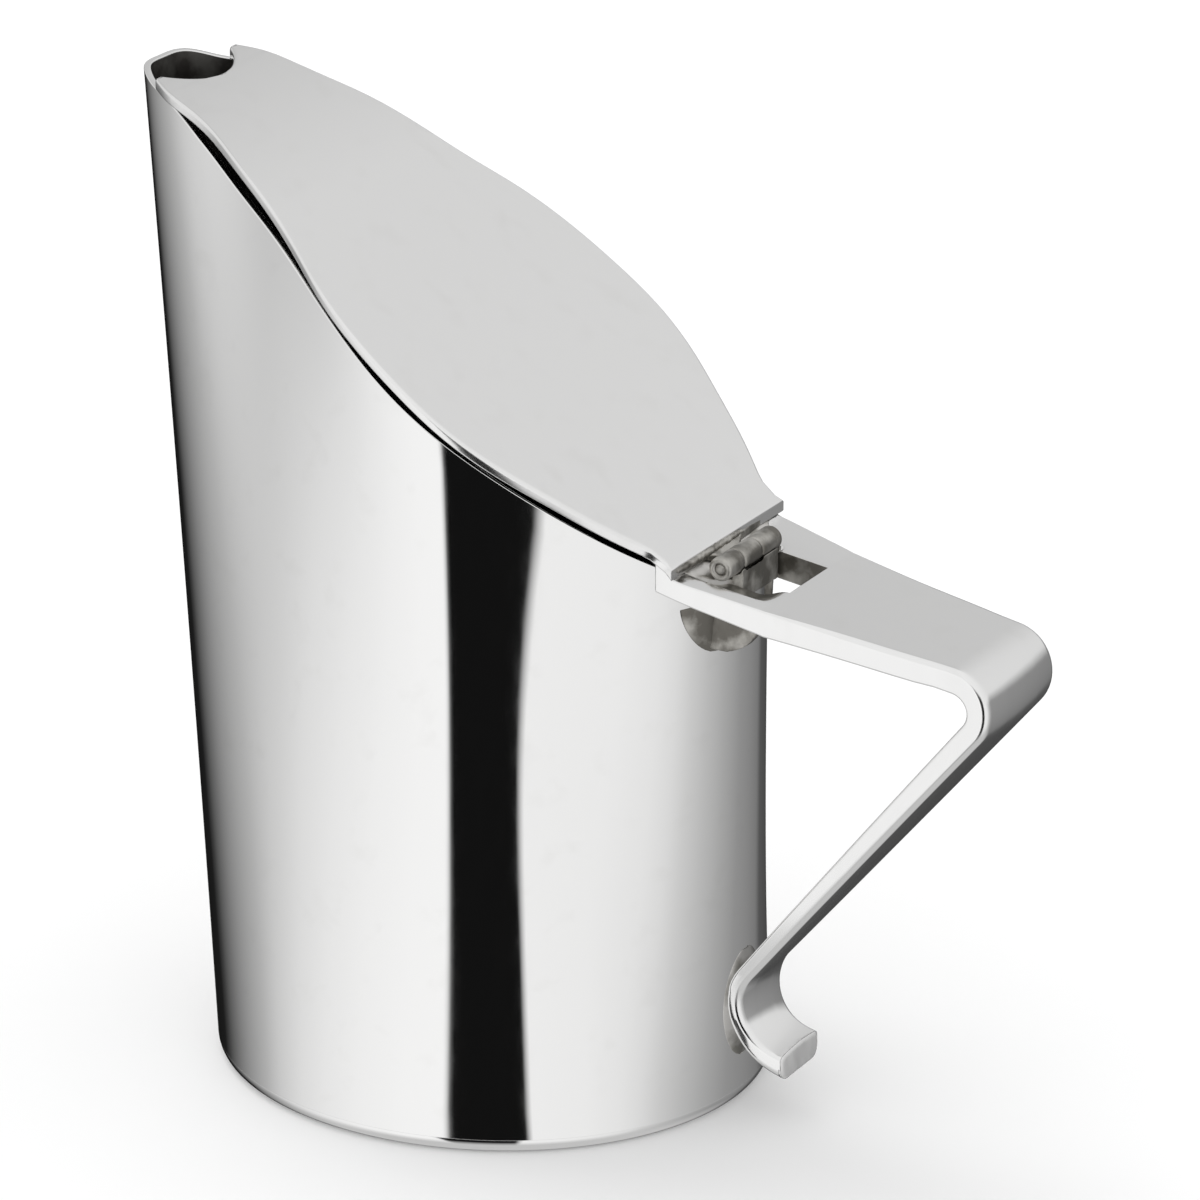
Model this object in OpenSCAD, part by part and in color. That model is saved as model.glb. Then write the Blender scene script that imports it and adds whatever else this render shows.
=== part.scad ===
// Small lidded creamer in polished sheet metal.
// An oval wall leans forward from its base and narrows to a pouring lip, and its mouth is cut on a slant.
// A flat lid is hinged at the back of the mouth, and one bent strap makes the handle.
// X runs from the pouring lip (minus) to the handle (plus), Z is up, and the floor is at z = 0.

/* [Body] */
// Length of the oval base, from the lip side to the handle side
base_len = 60; // [54:0.5:66]
// Width of the oval base
base_w = 56.3; // [50:0.1:62]
// Height of the base plate under the wall
base_t = 1.6; // [1:0.1:3]
// Rounding of the base plate's lower edge
base_round = 1.2; // [0.3:0.1:1.4]
// Thickness of the wall's sheet
wall_t = 1; // [0.7:0.05:1.5]
// How far the pouring lip stands in front of the base's centre
lip_reach = 40.3; // [38:0.1:42]
// Greatest width of the mouth
mouth_w = 46.4; // [42:0.1:50]
// How far the lip's edge rises in front of the lid
lip_rise = 0.55; // [0.1:0.05:1]
// Distance in front of the base's centre where that rise starts
rise_x = 36.4; // [36:0.1:37.5]

/* [Lid] */
// Height of the lid's underside above the back end of the base
lid_back_z = 59.4; // [56:0.1:62]
// Slope of the mouth and the lid
lid_slope = 36.1; // [33:0.1:38]
// How far the front end of the lid bends down from that slope
lid_droop = 7.46; // [6:0.02:8.5]
// Distance in front of the base's centre where that bend starts
droop_x = 15.3; // [12:0.1:20]
// Thickness of the lid's sheet
lid_t = 1; // [0.7:0.05:1.2]
// How far the lid stands over the wall at the sides
lid_over = 0.32; // [0.1:0.02:0.6]
// Gap between the lid and the mouth over most of its length
lid_gap = 0.65; // [0.4:0.05:0.9]
// Extra gap where the wall dips behind the pouring lip
wall_dip = 1.05; // [0.2:0.05:1.3]
// Distance in front of the base's centre where that dip is deepest
dip_x = 22; // [18:0.5:25]
// Distance in front of the base's centre where the gap closes towards the lip
gap_end_x = 34.6; // [33:0.1:35.5]
// Length of the dip on each side of its deepest point
dip_spread = 6.5; // [4:0.5:8]
// Gap between the lid and the lip, where the lid rests
seat_gap = 0.15; // [0.1:0.05:0.3]
// Radius of the pouring notch in the front of the lid
notch_r = 8.6; // [8:0.1:10]
// How far the lid reaches forward at the bottom of the notch
notch_reach = 32.5; // [31:0.1:34]
// How far the lid's straight back edge stops short of the base's back end
lid_back_gap = 3.4; // [3:0.1:4]
// How far the lid's two back corners stand behind that edge
ear_len = 1; // [0.3:0.1:1.4]
// Distance between the lid's two back corners
ear_w = 25; // [24:0.1:27]

/* [Hinge] */
// Diameter of the knuckles
knuckle_d = 2.6; // [2.2:0.05:3]
// Diameter of the pin
pin_d = 1.2; // [0.9:0.05:1.4]
// Gap between the pin and the bores of the knuckles, on the radius
pin_fit = 0.05; // [0.02:0.01:0.1]
// Length of the left knuckle
left_knuckle_len = 3.3; // [2.5:0.1:4]
// Length of the lid's knuckle
mid_knuckle_len = 3.7; // [3:0.1:4.5]
// Length of the right knuckle
right_knuckle_len = 4.2; // [3:0.1:4.4]
// Play between neighbouring knuckles
knuckle_play = 0.12; // [0.08:0.01:0.3]
// How far the hinge sits to the left of the middle
hinge_shift = 0.8; // [0:0.1:1.2]
// Distance of the hinge's axis behind the lid's back edge
hinge_back_len = 3.4; // [3.2:0.1:3.8]
// Height of the axis over the lid's underside, square to the lid
hinge_rise = 1.35; // [1.33:0.01:1.6]
// Thickness of the leaf on the wall
leaf_t = 0.9; // [0.6:0.05:1.1]
// Width of the leaf on the wall
leaf_w = 7.8; // [6:0.1:8]
// Height of the leaf on the wall
leaf_h = 3.4; // [2.4:0.1:4.5]

/* [Handle] */
// Height of the strap's top over the back end of the base
strap_z = 60.2; // [59.6:0.1:60.6]
// Fall of the strap's top away from the wall
strap_fall = 8.5; // [6:0.1:10]
// Thickness of the strap along its top
strap_t = 3; // [2.4:0.1:3.4]
// How far the knee stands behind the base's back end
knee_out_len = 31.2; // [28:0.1:36]
// Radius of the knee, outside
knee_r = 5; // [4:0.1:6]
// Radius of the knee, inside
knee_inner_r = 2; // [1.5:0.1:2.5]
// How much steeper the long leg is inside than outside, which thins it downwards
leg_taper = 1.2; // [0.8:0.1:1.6]
// Thickness of the leg below the knee
leg_t = 3; // [2.6:0.1:3.2]
// Radius of the curl, in its hollow
curl_r = 4.7; // [4.2:0.1:4.9]
// Radius of the curl, on the side of the wall
curl_back_r = 7.6; // [7.2:0.1:7.9]
// How far the corner that the curl rounds lies in front of the base's back end
curl_in_len = 1.29; // [1:0.01:1.5]
// How far the strap's end stands behind the base's back end
toe_out_len = 6.8; // [6.4:0.1:8]
// Height of the strap's end over the floor, at its underside
toe_z = 5.5; // [5:0.1:6.5]
// Thickness of the strap at its end
toe_t = 2.5; // [2:0.1:2.8]
// Slope of the last stretch of the curl
toe_slope = 14; // [12:0.5:16]
// How far the strap's root reaches forward round the wall
root_len = 6.25; // [5.75:0.05:6.75]
// Width of the strap at its root on the wall
root_w = 23.6; // [22:0.1:25]
// Width of the strap at the middle of its top
top_w = 19; // [17:0.1:20]
// Width of the strap at the knee
knee_w = 15.6; // [13:0.1:17]
// Width of the leg in the middle of its length
leg_w = 13.3; // [11:0.1:14]
// Width of the strap at its end
toe_w = 7.2; // [6:0.1:8.5]
// Width of the slot behind the hinge
slot_w = 8.4; // [8.2:0.1:9]
// How far the slot runs behind the base's back end
slot_len = 6.8; // [6:0.1:8]
// Room left for the knuckles in the strap's top
knuckle_room = 0.55; // [0.4:0.05:0.8]
// Radius of the brackets under the strap
bracket_r = 4.9; // [4:0.1:6]
// Thickness of the brackets
bracket_t = 1.2; // [0.8:0.1:1.6]
// Distance between the middles of the two brackets
bracket_gap = 11.8; // [11:0.1:13]
// Radius of the pad that joins the curl to the wall
pad_r = 2.6; // [2:0.1:3]
// Height of that pad over the floor
pad_z = 12.4; // [11.5:0.1:13.5]
// Gap that solder fills between the handle's pieces and the wall
solder_gap = 0.03; // [0.01:0.01:0.05]

/* [Hidden] */
$fn = 64;

// Overrun of every cut
over = 3;
// Facets round the oval, and rings up its wall
around = 96;
rings = 6;
full_turn = 360;
half_turn = full_turn / 2;
turn = full_turn / around;
arc_steps = 14;

// Half sizes
base_half_len = base_len / 2;
base_half_w = base_w / 2;
mouth_half_w = mouth_w / 2;

// Places behind the base's centre
lid_back_x = base_half_len - lid_back_gap;
hinge_x = lid_back_x + hinge_back_len;
slot_end_x = base_half_len + slot_len;
toe_x = base_half_len + toe_out_len;
knee_reach = base_half_len + knee_out_len;

// Control points of the mouth's outline in plan, every knot_turn degrees from the back round to the lip.
// Forward points are shares of lip_reach, backward ones of half the base, and side points of half the mouth.
mouth_shares = [[1.037, 0], [0.972, 0.296], [0.816, 0.553], [0.617, 0.748], [0.421, 0.891], [0.245, 0.979],
    [0.089, 1.008], [-0.041, 0.984], [-0.149, 0.922], [-0.263, 0.835], [-0.382, 0.734], [-0.504, 0.627],
    [-0.627, 0.531], [-0.745, 0.446], [-0.847, 0.36], [-0.927, 0.272], [-0.98, 0.184], [-1.002, 0.093],
    [-0.999, 0]];
last_knot = len(mouth_shares) - 1;
knot_turn = half_turn / last_knot;

// Control points of the lid's outline, from its back corner to the tip beside the notch.
// Side points are shares of half the lid.
lid_shares = [[0.831, 0.522], [0.699, 0.67], [0.549, 0.788], [0.403, 0.911], [0.235, 0.989], [0.058, 0.985],
    [-0.087, 0.955], [-0.211, 0.884], [-0.321, 0.757], [-0.439, 0.664], [-0.562, 0.581], [-0.674, 0.468],
    [-0.806, 0.419], [-0.908, 0.28]];
last_lid_knot = len(lid_shares) - 1;
lid_half_w = mouth_half_w + lid_over;

function mix(a, b, k) = a + (b - a) * k;
function ease(k) = let (c = min(1, max(0, k))) c * c * (3 - 2 * c);

// A smooth curve that four neighbouring control points draw between the middle two
function curve(a, b, c, d, f) = let (g = 1 - f)
    (g * g * g * a + (3 * f * f * f - 6 * f * f + 4) * b + (3 * g * g * g - 6 * g * g + 4) * c
    + f * f * f * d) / 6;

function length_at(share) = share > 0 ? base_half_len : lip_reach;

// The other side's control points follow past both ends
function knot(i) = let (
        folded = i < 0 ? -i : i > last_knot ? 2 * last_knot - i : i,
        side = folded == i ? 1 : -1,
        share = mouth_shares[folded]
    ) [share.x * length_at(share.x), side * share.y * mouth_half_w];

function mouth_xy(angle) = let (
        a = (angle + full_turn) % full_turn,
        half = a > half_turn ? full_turn - a : a,
        i = min(floor(half / knot_turn), last_knot - 1),
        p = curve(knot(i - 1), knot(i), knot(i + 1), knot(i + 2), half / knot_turn - i)
    ) [p.x, a > half_turn ? -p.y : p.y];

// The lid's curve starts and ends on its first and last control points
function lid_knot(i) = i < 0 ? 2 * lid_knot(0) - lid_knot(1)
    : i > last_lid_knot ? 2 * lid_knot(last_lid_knot) - lid_knot(last_lid_knot - 1)
    : [lid_shares[i].x * length_at(lid_shares[i].x), lid_shares[i].y * lid_half_w];

function lid_xy(t) = let (i = min(floor(t), last_lid_knot - 1))
    curve(lid_knot(i - 1), lid_knot(i), lid_knot(i + 1), lid_knot(i + 2), t - i);

function base_xy(angle) = [base_half_len * cos(angle), base_half_w * sin(angle)];

// Direction square to a short step, to its right
function right_of(step) = [step.y, -step.x] / norm(step);
function mouth_in(angle, inset) = mouth_xy(angle)
    - inset * right_of(mouth_xy(angle + 1) - mouth_xy(angle - 1));
function base_in(angle, inset) = base_xy(angle)
    - inset * right_of(base_xy(angle + 1) - base_xy(angle - 1));

// Height of the lid's underside, and of the wall's edge under it
function droop_at(x) = lid_droop * pow(max(0, -x - droop_x) / (lip_reach - droop_x), 2);
function lid_z(x) = lid_back_z + (base_half_len - x) * tan(lid_slope) - droop_at(x);
function dip_of(x) = wall_dip * exp(-pow((x + dip_x) / dip_spread, 2));
function open_share(x) = ease((x + gap_end_x) / dip_spread);
function rise_at(x) = lip_rise * ease((-x - rise_x) / (lip_reach - rise_x));
function mouth_z(x) = lid_z(x) - seat_gap + rise_at(x)
    - open_share(x) * (lid_gap - seat_gap + dip_of(x));

// A point of the wall: k runs up a straight line from the base to the mouth
function wall_point(angle, k, inset) = let (
        low = base_in(angle, inset),
        high = mouth_in(angle, inset)
    ) [mix(low.x, high.x, k), mix(low.y, high.y, k), mix(base_t, mouth_z(high.x), k)];
function wall_ring(k, inset) = [for (i = [0 : around - 1]) wall_point(i * turn, k, inset)];

// The wall's section at one height, for what is fitted to its outside
function section_at(z, inset) = [for (i = [0 : around - 1]) let (
        low = base_in(i * turn, inset),
        high = mouth_in(i * turn, inset)
    ) mix(low, high, (z - base_t) / (mouth_z(high.x) - base_t))];

// Side faces between rings of equal count, and the same rings closed to a band
function ring_faces(count, from, to) = [for (i = [0 : count - 1])
    let (a = from + i, b = from + (i + 1) % count, c = to + i, d = to + (i + 1) % count)
    each [[a, c, b], [b, c, d]]];

module band(layers) {
    count = len(layers[0]);
    total = len(layers);
    faces = [for (j = [0 : total - 1]) each ring_faces(count, j * count, (j + 1) % total * count)];
    polyhedron([for (layer = layers) each layer], faces, 8);
}

module stack(layers) {
    count = len(layers[0]);
    last = (len(layers) - 1) * count;
    sides = [for (j = [0 : len(layers) - 2]) each ring_faces(count, j * count, (j + 1) * count)];
    low = [for (i = [0 : count - 1]) i];
    high = [for (i = [count - 1 : -1 : 0]) last + i];
    polyhedron([for (layer = layers) each layer], concat(sides, [low, high]), 8);
}

// An outline in plan made a tall prism, and a side view made a wide one
module upright(points, low, high) {
    translate([0, 0, low])
        linear_extrude(high - low)
            polygon(points);
}

module across(points, width) {
    rotate([90, 0, 0])
        linear_extrude(width, center = true)
            polygon(points);
}

// A round bar along the hinge, from one side place to another
module bar(radius, from_y, to_y) {
    translate([hinge_x, to_y, hinge_z])
        rotate([90, 0, 0])
            cylinder(r = radius, h = to_y - from_y);
}

module tube(from_y, to_y) {
    difference() {
        bar(knuckle_d / 2, from_y, to_y);
        bar(pin_d / 2 + pin_fit, from_y - over, to_y + over);
    }
}

// The wall's outside between two heights, cut from what is fitted to it there
module wall_core(from_z, to_z) {
    for (z = [from_z, to_z])
        upright(section_at(z, -solder_gap), 0, 2 * lid_back_z);
}

// Places of the hinge
hinge_z = lid_z(hinge_x) + hinge_rise / cos(lid_slope);
knuckles_len = left_knuckle_len + mid_knuckle_len + right_knuckle_len + 2 * knuckle_play;
left_end = -hinge_shift - knuckles_len / 2;
left_stop = left_end + left_knuckle_len;
mid_start = left_stop + knuckle_play;
mid_stop = mid_start + mid_knuckle_len;
right_start = mid_stop + knuckle_play;
right_end = right_start + right_knuckle_len;

module body_wall() {
    color([0.86, 0.86, 0.87])
        band(concat(
            [for (j = [0 : rings]) wall_ring(j / rings, 0)],
            [for (j = [rings : -1 : 0]) wall_ring(j / rings, wall_t)]));
}

function base_ring(z, inset) = [for (i = [0 : around - 1])
    let (p = base_in(i * turn, inset)) [p.x, p.y, z]];

module base_plate() {
    round_steps = 5;
    edge = [for (j = [0 : round_steps]) let (a = 90 * j / round_steps)
        base_ring(base_round * (1 - cos(a)), base_round * (1 - sin(a)))];
    color([0.82, 0.82, 0.83])
        stack(concat(edge, [base_ring(base_t, 0)]));
}

// The lid's sheet seen from the side
lid_front_x = -lip_reach;
module lid_sheet(back_x) {
    steps = 24;
    rise = lid_t / cos(lid_slope);
    xs = [for (i = [0 : steps]) mix(back_x, lid_front_x, i / steps)];
    low = [for (x = xs) [x, lid_z(x)]];
    high = [for (i = [steps : -1 : 0]) [xs[i], lid_z(xs[i]) + rise]];
    across(concat(low, high), mouth_w + over);
}

module lid_plate() {
    steps = 4 * last_lid_knot;
    half = [for (i = [0 : steps]) lid_xy(i / steps * last_lid_knot)];
    other = [for (i = [steps : -1 : 0]) [half[i].x, -half[i].y]];
    back = [lid_back_x + ear_len, ear_w / 2];
    root = [lid_back_x, ear_w / 2 - 2 * ear_len];
    outline = concat([[root.x, -root.y], root, back], half, other, [[back.x, -back.y]]);
    color([0.84, 0.84, 0.83])
        difference() {
            intersection() {
                upright(outline, 0, 2 * lid_back_z);
                lid_sheet(lid_back_x + ear_len);
            }
            translate([-notch_reach - notch_r, 0, 0])
                cylinder(r = notch_r, h = 2 * lid_back_z);
        }
}

module lid_hinge_strip() {
    side = ear_w / 2 - 2 * ear_len;
    lip_x = lid_back_x + ear_len;
    neck_x = hinge_x - knuckle_d / 2 - 2 * knuckle_play;
    end_x = hinge_x - (hinge_rise - lid_t / 2) * sin(lid_slope);
    outline = [[lid_back_x, -side], [lid_back_x, side], [lip_x, side], [lip_x, mid_stop + ear_len],
        [neck_x, mid_stop], [end_x, mid_stop], [end_x, mid_start], [neck_x, mid_start],
        [(lid_back_x + neck_x) / 2, mid_start - 2 * ear_len], [lid_back_x + ear_len / 4, -side]];
    color([0.62, 0.61, 0.58])
        difference() {
            intersection() {
                upright(outline, 0, 2 * lid_back_z);
                lid_sheet(end_x + over);
            }
            bar(knuckle_d / 2, left_end, right_end);
        }
}

module lid_knuckle() {
    color([0.6, 0.59, 0.56])
        tube(mid_start, mid_stop);
}

module left_knuckle() {
    color([0.58, 0.57, 0.54])
        tube(left_end, left_stop);
}

module right_knuckle() {
    color([0.58, 0.57, 0.54])
        tube(right_start, right_end);
}

module hinge_pin() {
    color([0.5, 0.5, 0.48])
        bar(pin_d / 2, left_end, right_end);
}

module body_hinge_leaf() {
    top_z = hinge_z - knuckle_d / 5;
    color([0.58, 0.57, 0.54])
        difference() {
            translate([hinge_x, -leaf_w / 2, top_z - leaf_h])
                cube([mouth_xy(0).x + leaf_t - hinge_x, leaf_w, leaf_h]);
            wall_core(top_z - leaf_h, top_z);
            bar(knuckle_d / 2, left_end - over, right_end + over);
            bar(knuckle_d / 2 + 2 * knuckle_play, mid_start - knuckle_play, mid_stop + knuckle_play);
        }
}

// Where two lines meet, each given by a point and its slope as an angle
function crossing(p, slope_p, q, slope_q) = let (
        x = (q.y - p.y + p.x * tan(slope_p) - q.x * tan(slope_q)) / (tan(slope_p) - tan(slope_q))
    ) [x, p.y + (x - p.x) * tan(slope_p)];

// The arc of radius r that rounds a corner between two others
function rounded(before, corner, after, r) = let (
        u = (before - corner) / norm(before - corner),
        v = (after - corner) / norm(after - corner),
        half = acos(u * v) / 2,
        middle = corner + (u + v) / norm(u + v) * r / sin(half),
        start = corner + u * r / tan(half) - middle,
        side = u.x * v.y - u.y * v.x > 0 ? -1 : 1,
        sweep = side * (half_turn - 2 * half)
    ) [for (i = [0 : arc_steps]) let (a = sweep * i / arc_steps)
        middle + [start.x * cos(a) - start.y * sin(a), start.x * sin(a) + start.y * cos(a)]];

// The strap seen from the side: [x, z] of its outer and inner corners
root_x = base_half_len - root_len;
function strap_top(x) = strap_z - (x - base_half_len) * tan(strap_fall);
function strap_under(x) = strap_top(x) - strap_t / cos(strap_fall);

toe_top = [toe_x, toe_z + toe_t];
toe_low = [toe_x, toe_z];
root_top = [root_x, strap_top(root_x)];
root_low = [root_x, strap_under(root_x)];

// The leg's outside runs from the curl's corner along the knee's arc, which touches the strap's top
curl_x = base_half_len - curl_in_len;
curl_corner = [curl_x, toe_top.y + (toe_x - curl_x) * tan(toe_slope)];
knee_arc_x = knee_reach - knee_r;
knee_middle = [knee_arc_x, strap_top(knee_arc_x) - knee_r / cos(strap_fall)];
knee_line = knee_middle - curl_corner;
leg_slope = atan2(knee_line.y, knee_line.x) - asin(knee_r / norm(knee_line));
leg_inner_slope = leg_slope + leg_taper;
knee_corner = crossing(root_top, -strap_fall, curl_corner, leg_slope);
leg_start = knee_corner - leg_t * [sin(leg_slope), -cos(leg_slope)];
knee_inner = crossing(root_low, -strap_fall, leg_start, leg_inner_slope);
curl_inner = crossing(leg_start, leg_inner_slope, toe_low, -toe_slope);

strap_side = concat([root_top],
    rounded(root_top, knee_corner, curl_corner, knee_r),
    rounded(knee_corner, curl_corner, toe_top, curl_r),
    [toe_top, toe_low],
    rounded(toe_low, curl_inner, knee_inner, curl_back_r),
    rounded(curl_inner, knee_inner, root_low, knee_inner_r),
    [root_low]);

// Half widths of the strap in plan, at shares of the way from its root to the knee
shoulder_share = 0.62;
bend_share = 0.6;
top_shares = [0, 0.12, 0.24, 0.46, 0.77, 1];
top_widths = [root_w, root_w - strap_t / 2, mix(root_w, top_w, shoulder_share), top_w,
    mix(top_w, knee_w, bend_share), knee_w];
top_half = concat(
    [for (i = [0 : len(top_shares) - 1])
        [mix(root_x, knee_arc_x, top_shares[i]), top_widths[i] / 2]],
    [[knee_reach + over, knee_w / 2]]);

// Half widths of the leg from behind, at shares of its height
calf_share = 0.48;
ankle_share = 0.18;
leg_top_z = knee_inner.y + knee_inner_r / 2;
leg_shares = [1, 0.86, 0.42, 0.22, 0.13, 0.05];
leg_widths = [knee_w, knee_w, leg_w, mix(toe_w, leg_w, calf_share), mix(toe_w, leg_w, ankle_share), toe_w];
leg_half = concat(
    [[root_w, strap_z + over], [root_w, leg_top_z]],
    [for (i = [0 : len(leg_shares) - 1]) [leg_widths[i] / 2, mix(toe_z, leg_top_z, leg_shares[i])]],
    [[toe_w / 2, 0]]);

function both_sides(half) = concat(half,
    [for (i = [len(half) - 1 : -1 : 0]) [-half[i].x, half[i].y]]);
function plan_sides(half) = concat(half,
    [for (i = [len(half) - 1 : -1 : 0]) [half[i].x, -half[i].y]]);

module strap_solid() {
    intersection() {
        across(strap_side, root_w + over);
        upright(plan_sides(top_half), 0, strap_z + 2 * over);
        rotate([90, 0, 90])
            linear_extrude(knee_reach + over)
                polygon(both_sides(leg_half));
    }
}

module handle_strap() {
    room = knuckle_d / 2 + knuckle_room;
    color([0.85, 0.85, 0.85])
        difference() {
            strap_solid();
            wall_core(strap_under(base_half_len), root_top.y);
            translate([0, -slot_w / 2, leg_top_z])
                cube([slot_end_x, slot_w, strap_z]);
            bar(room, left_end - room / 2, right_end + room / 2);
        }
}

// How far the pad would stand out behind the base, as a share of its radius
pad_share = 0.6;

// A quarter of a disc in the corner between the wall and the strap's underside
module bracket(y) {
    color([0.66, 0.65, 0.62])
        difference() {
            intersection() {
                translate([base_half_len, y + bracket_t / 2, strap_under(base_half_len)])
                    rotate([90, 0, 0])
                        cylinder(r = bracket_r, h = bracket_t);
                across([[0, 0], [knee_reach, 0], [knee_reach, strap_under(knee_reach) - solder_gap],
                    [0, strap_under(0) - solder_gap]], root_w);
            }
            wall_core(strap_under(base_half_len) - bracket_r, strap_under(base_half_len));
        }
}

module left_bracket() {
    bracket(-bracket_gap / 2);
}

module right_bracket() {
    bracket(bracket_gap / 2);
}

module foot_pad() {
    pad_len = pad_r * pad_share;
    color([0.72, 0.72, 0.7])
        difference() {
            translate([0, 0, pad_z])
                rotate([0, 90, 0])
                    cylinder(r = pad_r, h = base_half_len + pad_len);
            wall_core(pad_z - pad_r, pad_z + pad_r);
            across(strap_side, root_w);
        }
}

body_wall();
base_plate();
lid_plate();
lid_hinge_strip();
lid_knuckle();
body_hinge_leaf();
left_knuckle();
right_knuckle();
hinge_pin();
handle_strap();
left_bracket();
right_bracket();
foot_pad();
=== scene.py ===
# %% [markdown]
# # A small silver creamer, dressed around its solids
# The real object is silversmith's work: a sheet rolled to an oval and soldered to a base plate, a flat
# hinged lid with a pouring notch, and one bent strap for a handle. Everything visible is silver, so almost
# all that an eye sees on it is the room around it. This lesson builds smooth copies of the solids, gives
# them worn silver finishes, and sets up a studio whose panels lie where the real reflections came from.

# %% The frame and the tools
import math

import bmesh
import bpy
from mathutils import Matrix, Vector, noise


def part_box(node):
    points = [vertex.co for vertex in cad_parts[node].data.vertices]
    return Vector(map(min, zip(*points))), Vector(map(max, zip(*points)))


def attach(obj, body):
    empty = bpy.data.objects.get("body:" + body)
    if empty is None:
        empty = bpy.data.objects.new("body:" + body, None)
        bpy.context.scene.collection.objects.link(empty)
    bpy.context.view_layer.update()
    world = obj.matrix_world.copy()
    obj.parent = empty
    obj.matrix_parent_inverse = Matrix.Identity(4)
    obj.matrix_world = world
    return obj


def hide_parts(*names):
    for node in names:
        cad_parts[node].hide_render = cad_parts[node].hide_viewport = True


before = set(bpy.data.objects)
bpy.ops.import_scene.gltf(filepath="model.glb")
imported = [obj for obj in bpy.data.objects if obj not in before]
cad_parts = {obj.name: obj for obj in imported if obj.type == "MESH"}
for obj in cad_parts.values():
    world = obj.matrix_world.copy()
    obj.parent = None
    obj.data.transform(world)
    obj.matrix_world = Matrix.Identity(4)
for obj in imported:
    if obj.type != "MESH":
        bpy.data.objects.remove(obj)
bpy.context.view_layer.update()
mm = 0.001
UP = Vector((0, 0, 1))
print("solids:", sorted(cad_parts))

# %% [markdown]
# ## The camera
# The photograph looks down on the creamer from in front of its left side. Its place was worked out from
# the outlines of the base, the lid and the handle, so every edge of the render can be laid over the real
# one. A long lens keeps the upright lines nearly parallel, as in most pictures of small goods.

# %% The camera
camera_azimuth = math.radians(28.852)
camera_elevation = math.radians(20.347)
camera_roll = math.radians(0.256)
camera_distance = 661.2 * mm
aim_right = 11.11 * mm
aim_up = 50.31 * mm
lens_length = 190.15
sensor = 36


def make_camera():
    """Places the camera and makes it the scene's own."""
    a, e = camera_azimuth, camera_elevation
    right = Vector((math.cos(a), math.sin(a), 0))
    back = Vector((math.sin(a) * math.cos(e), -math.cos(a) * math.cos(e), math.sin(e)))
    up = back.cross(right)
    aim = right * aim_right + UP * aim_up
    tilted_right = right * math.cos(camera_roll) + up * math.sin(camera_roll)
    tilted_up = up * math.cos(camera_roll) - right * math.sin(camera_roll)
    data = bpy.data.cameras.new("photo_camera")
    data.lens = lens_length
    data.sensor_width = sensor
    data.clip_start = 10 * mm
    camera = bpy.data.objects.new("photo_camera", data)
    bpy.context.scene.collection.objects.link(camera)
    place = aim + back * camera_distance
    camera.matrix_world = Matrix((
        (tilted_right.x, tilted_up.x, back.x, place.x),
        (tilted_right.y, tilted_up.y, back.y, place.y),
        (tilted_right.z, tilted_up.z, back.z, place.z),
        (0, 0, 0, 1)))
    bpy.context.scene.camera = camera
    return camera


camera = make_camera()
print("camera stands at", [round(v / mm) for v in camera.location], "mm")

# %% [markdown]
# ## Finishes
# The wall and the base are polished until they mirror the room, with faint waves from the hammer and
# hairline polishing marks. The handle has been dulled by hands, its toe still shows the file, and the lid
# has a satin rub. The hinge, its leaf and the brackets carry solder and tarnish, because no cloth reaches
# them, and solder out in the open has worn paler. The same dark finish on the walls of the handle's slot
# and in its hollow is tarnish and painted shade, and on the two wedges beside the brackets it is a painted
# reflection of the brackets. The inside of the cup was never polished, and its near-black colour is
# painted shade. One function makes all eight finishes, since they differ only in how rough, how dark and
# how uneven they are. The wall's has one thing more, the slight twist that a rolled sheet keeps. Every
# pattern reads Object coordinates, so it stays put when a piece moves.

# %% Short ways to add nodes
def node(tree, kind, **sockets):
    """Adds one shader node and sets its unlinked inputs by name."""
    made = tree.nodes.new(kind)
    for name, value in sockets.items():
        made.inputs[name.replace("_", " ")].default_value = value
    return made


def noise_of(tree, place, scale, detail=4, stretch=(1, 1, 1)):
    """A noise pattern on the piece's own coordinates, with so many features to the metre."""
    mapping = node(tree, "ShaderNodeMapping", Scale=stretch)
    tree.links.new(place.outputs["Object"], mapping.inputs["Vector"])
    pattern = node(tree, "ShaderNodeTexNoise", Scale=scale, Detail=detail)
    tree.links.new(mapping.outputs["Vector"], pattern.inputs["Vector"])
    return pattern.outputs["Fac"]


def ranged(tree, value, low, high, to_low, to_high):
    """Stretches the middle of a noise pattern over the range that a socket needs."""
    made = node(tree, "ShaderNodeMapRange", From_Min=low, From_Max=high, To_Min=to_low, To_Max=to_high)
    tree.links.new(value, made.inputs["Value"])
    return made.outputs["Result"]


def maths(tree, operation, *values):
    """One sum in a tree of nodes, on numbers or on sockets."""
    made = tree.nodes.new("ShaderNodeMath")
    made.operation = operation
    for socket, value in zip(made.inputs, values):
        if isinstance(value, (int, float)):
            socket.default_value = value
        else:
            tree.links.new(value, socket)
    return made.outputs[0]


print("ways to add nodes:", [f.__name__ for f in (node, noise_of, ranged, maths)])

# %% [markdown]
# ## The twist of the rolled sheet
# A sheet that is rolled by hand springs back a little more near its ends, so its face turns by a few
# degrees there. A mirror shows that at once: the dark stripe on the wall leans near the lip and near the
# foot, although the wall's own lines are straight. Moving the points would spoil the outline, so a bump
# does it. Its height grows along the cup and past two heights, blended softly, and both are in metres, as
# the coordinates are.

# %% The twist of the rolled sheet
spring_top, spring_low = 1.4, 1.05
spring_from_z, spring_to_z = 45 * mm, 38 * mm
spring_x = 2 * mm
spring_blend = 12 * mm


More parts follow.
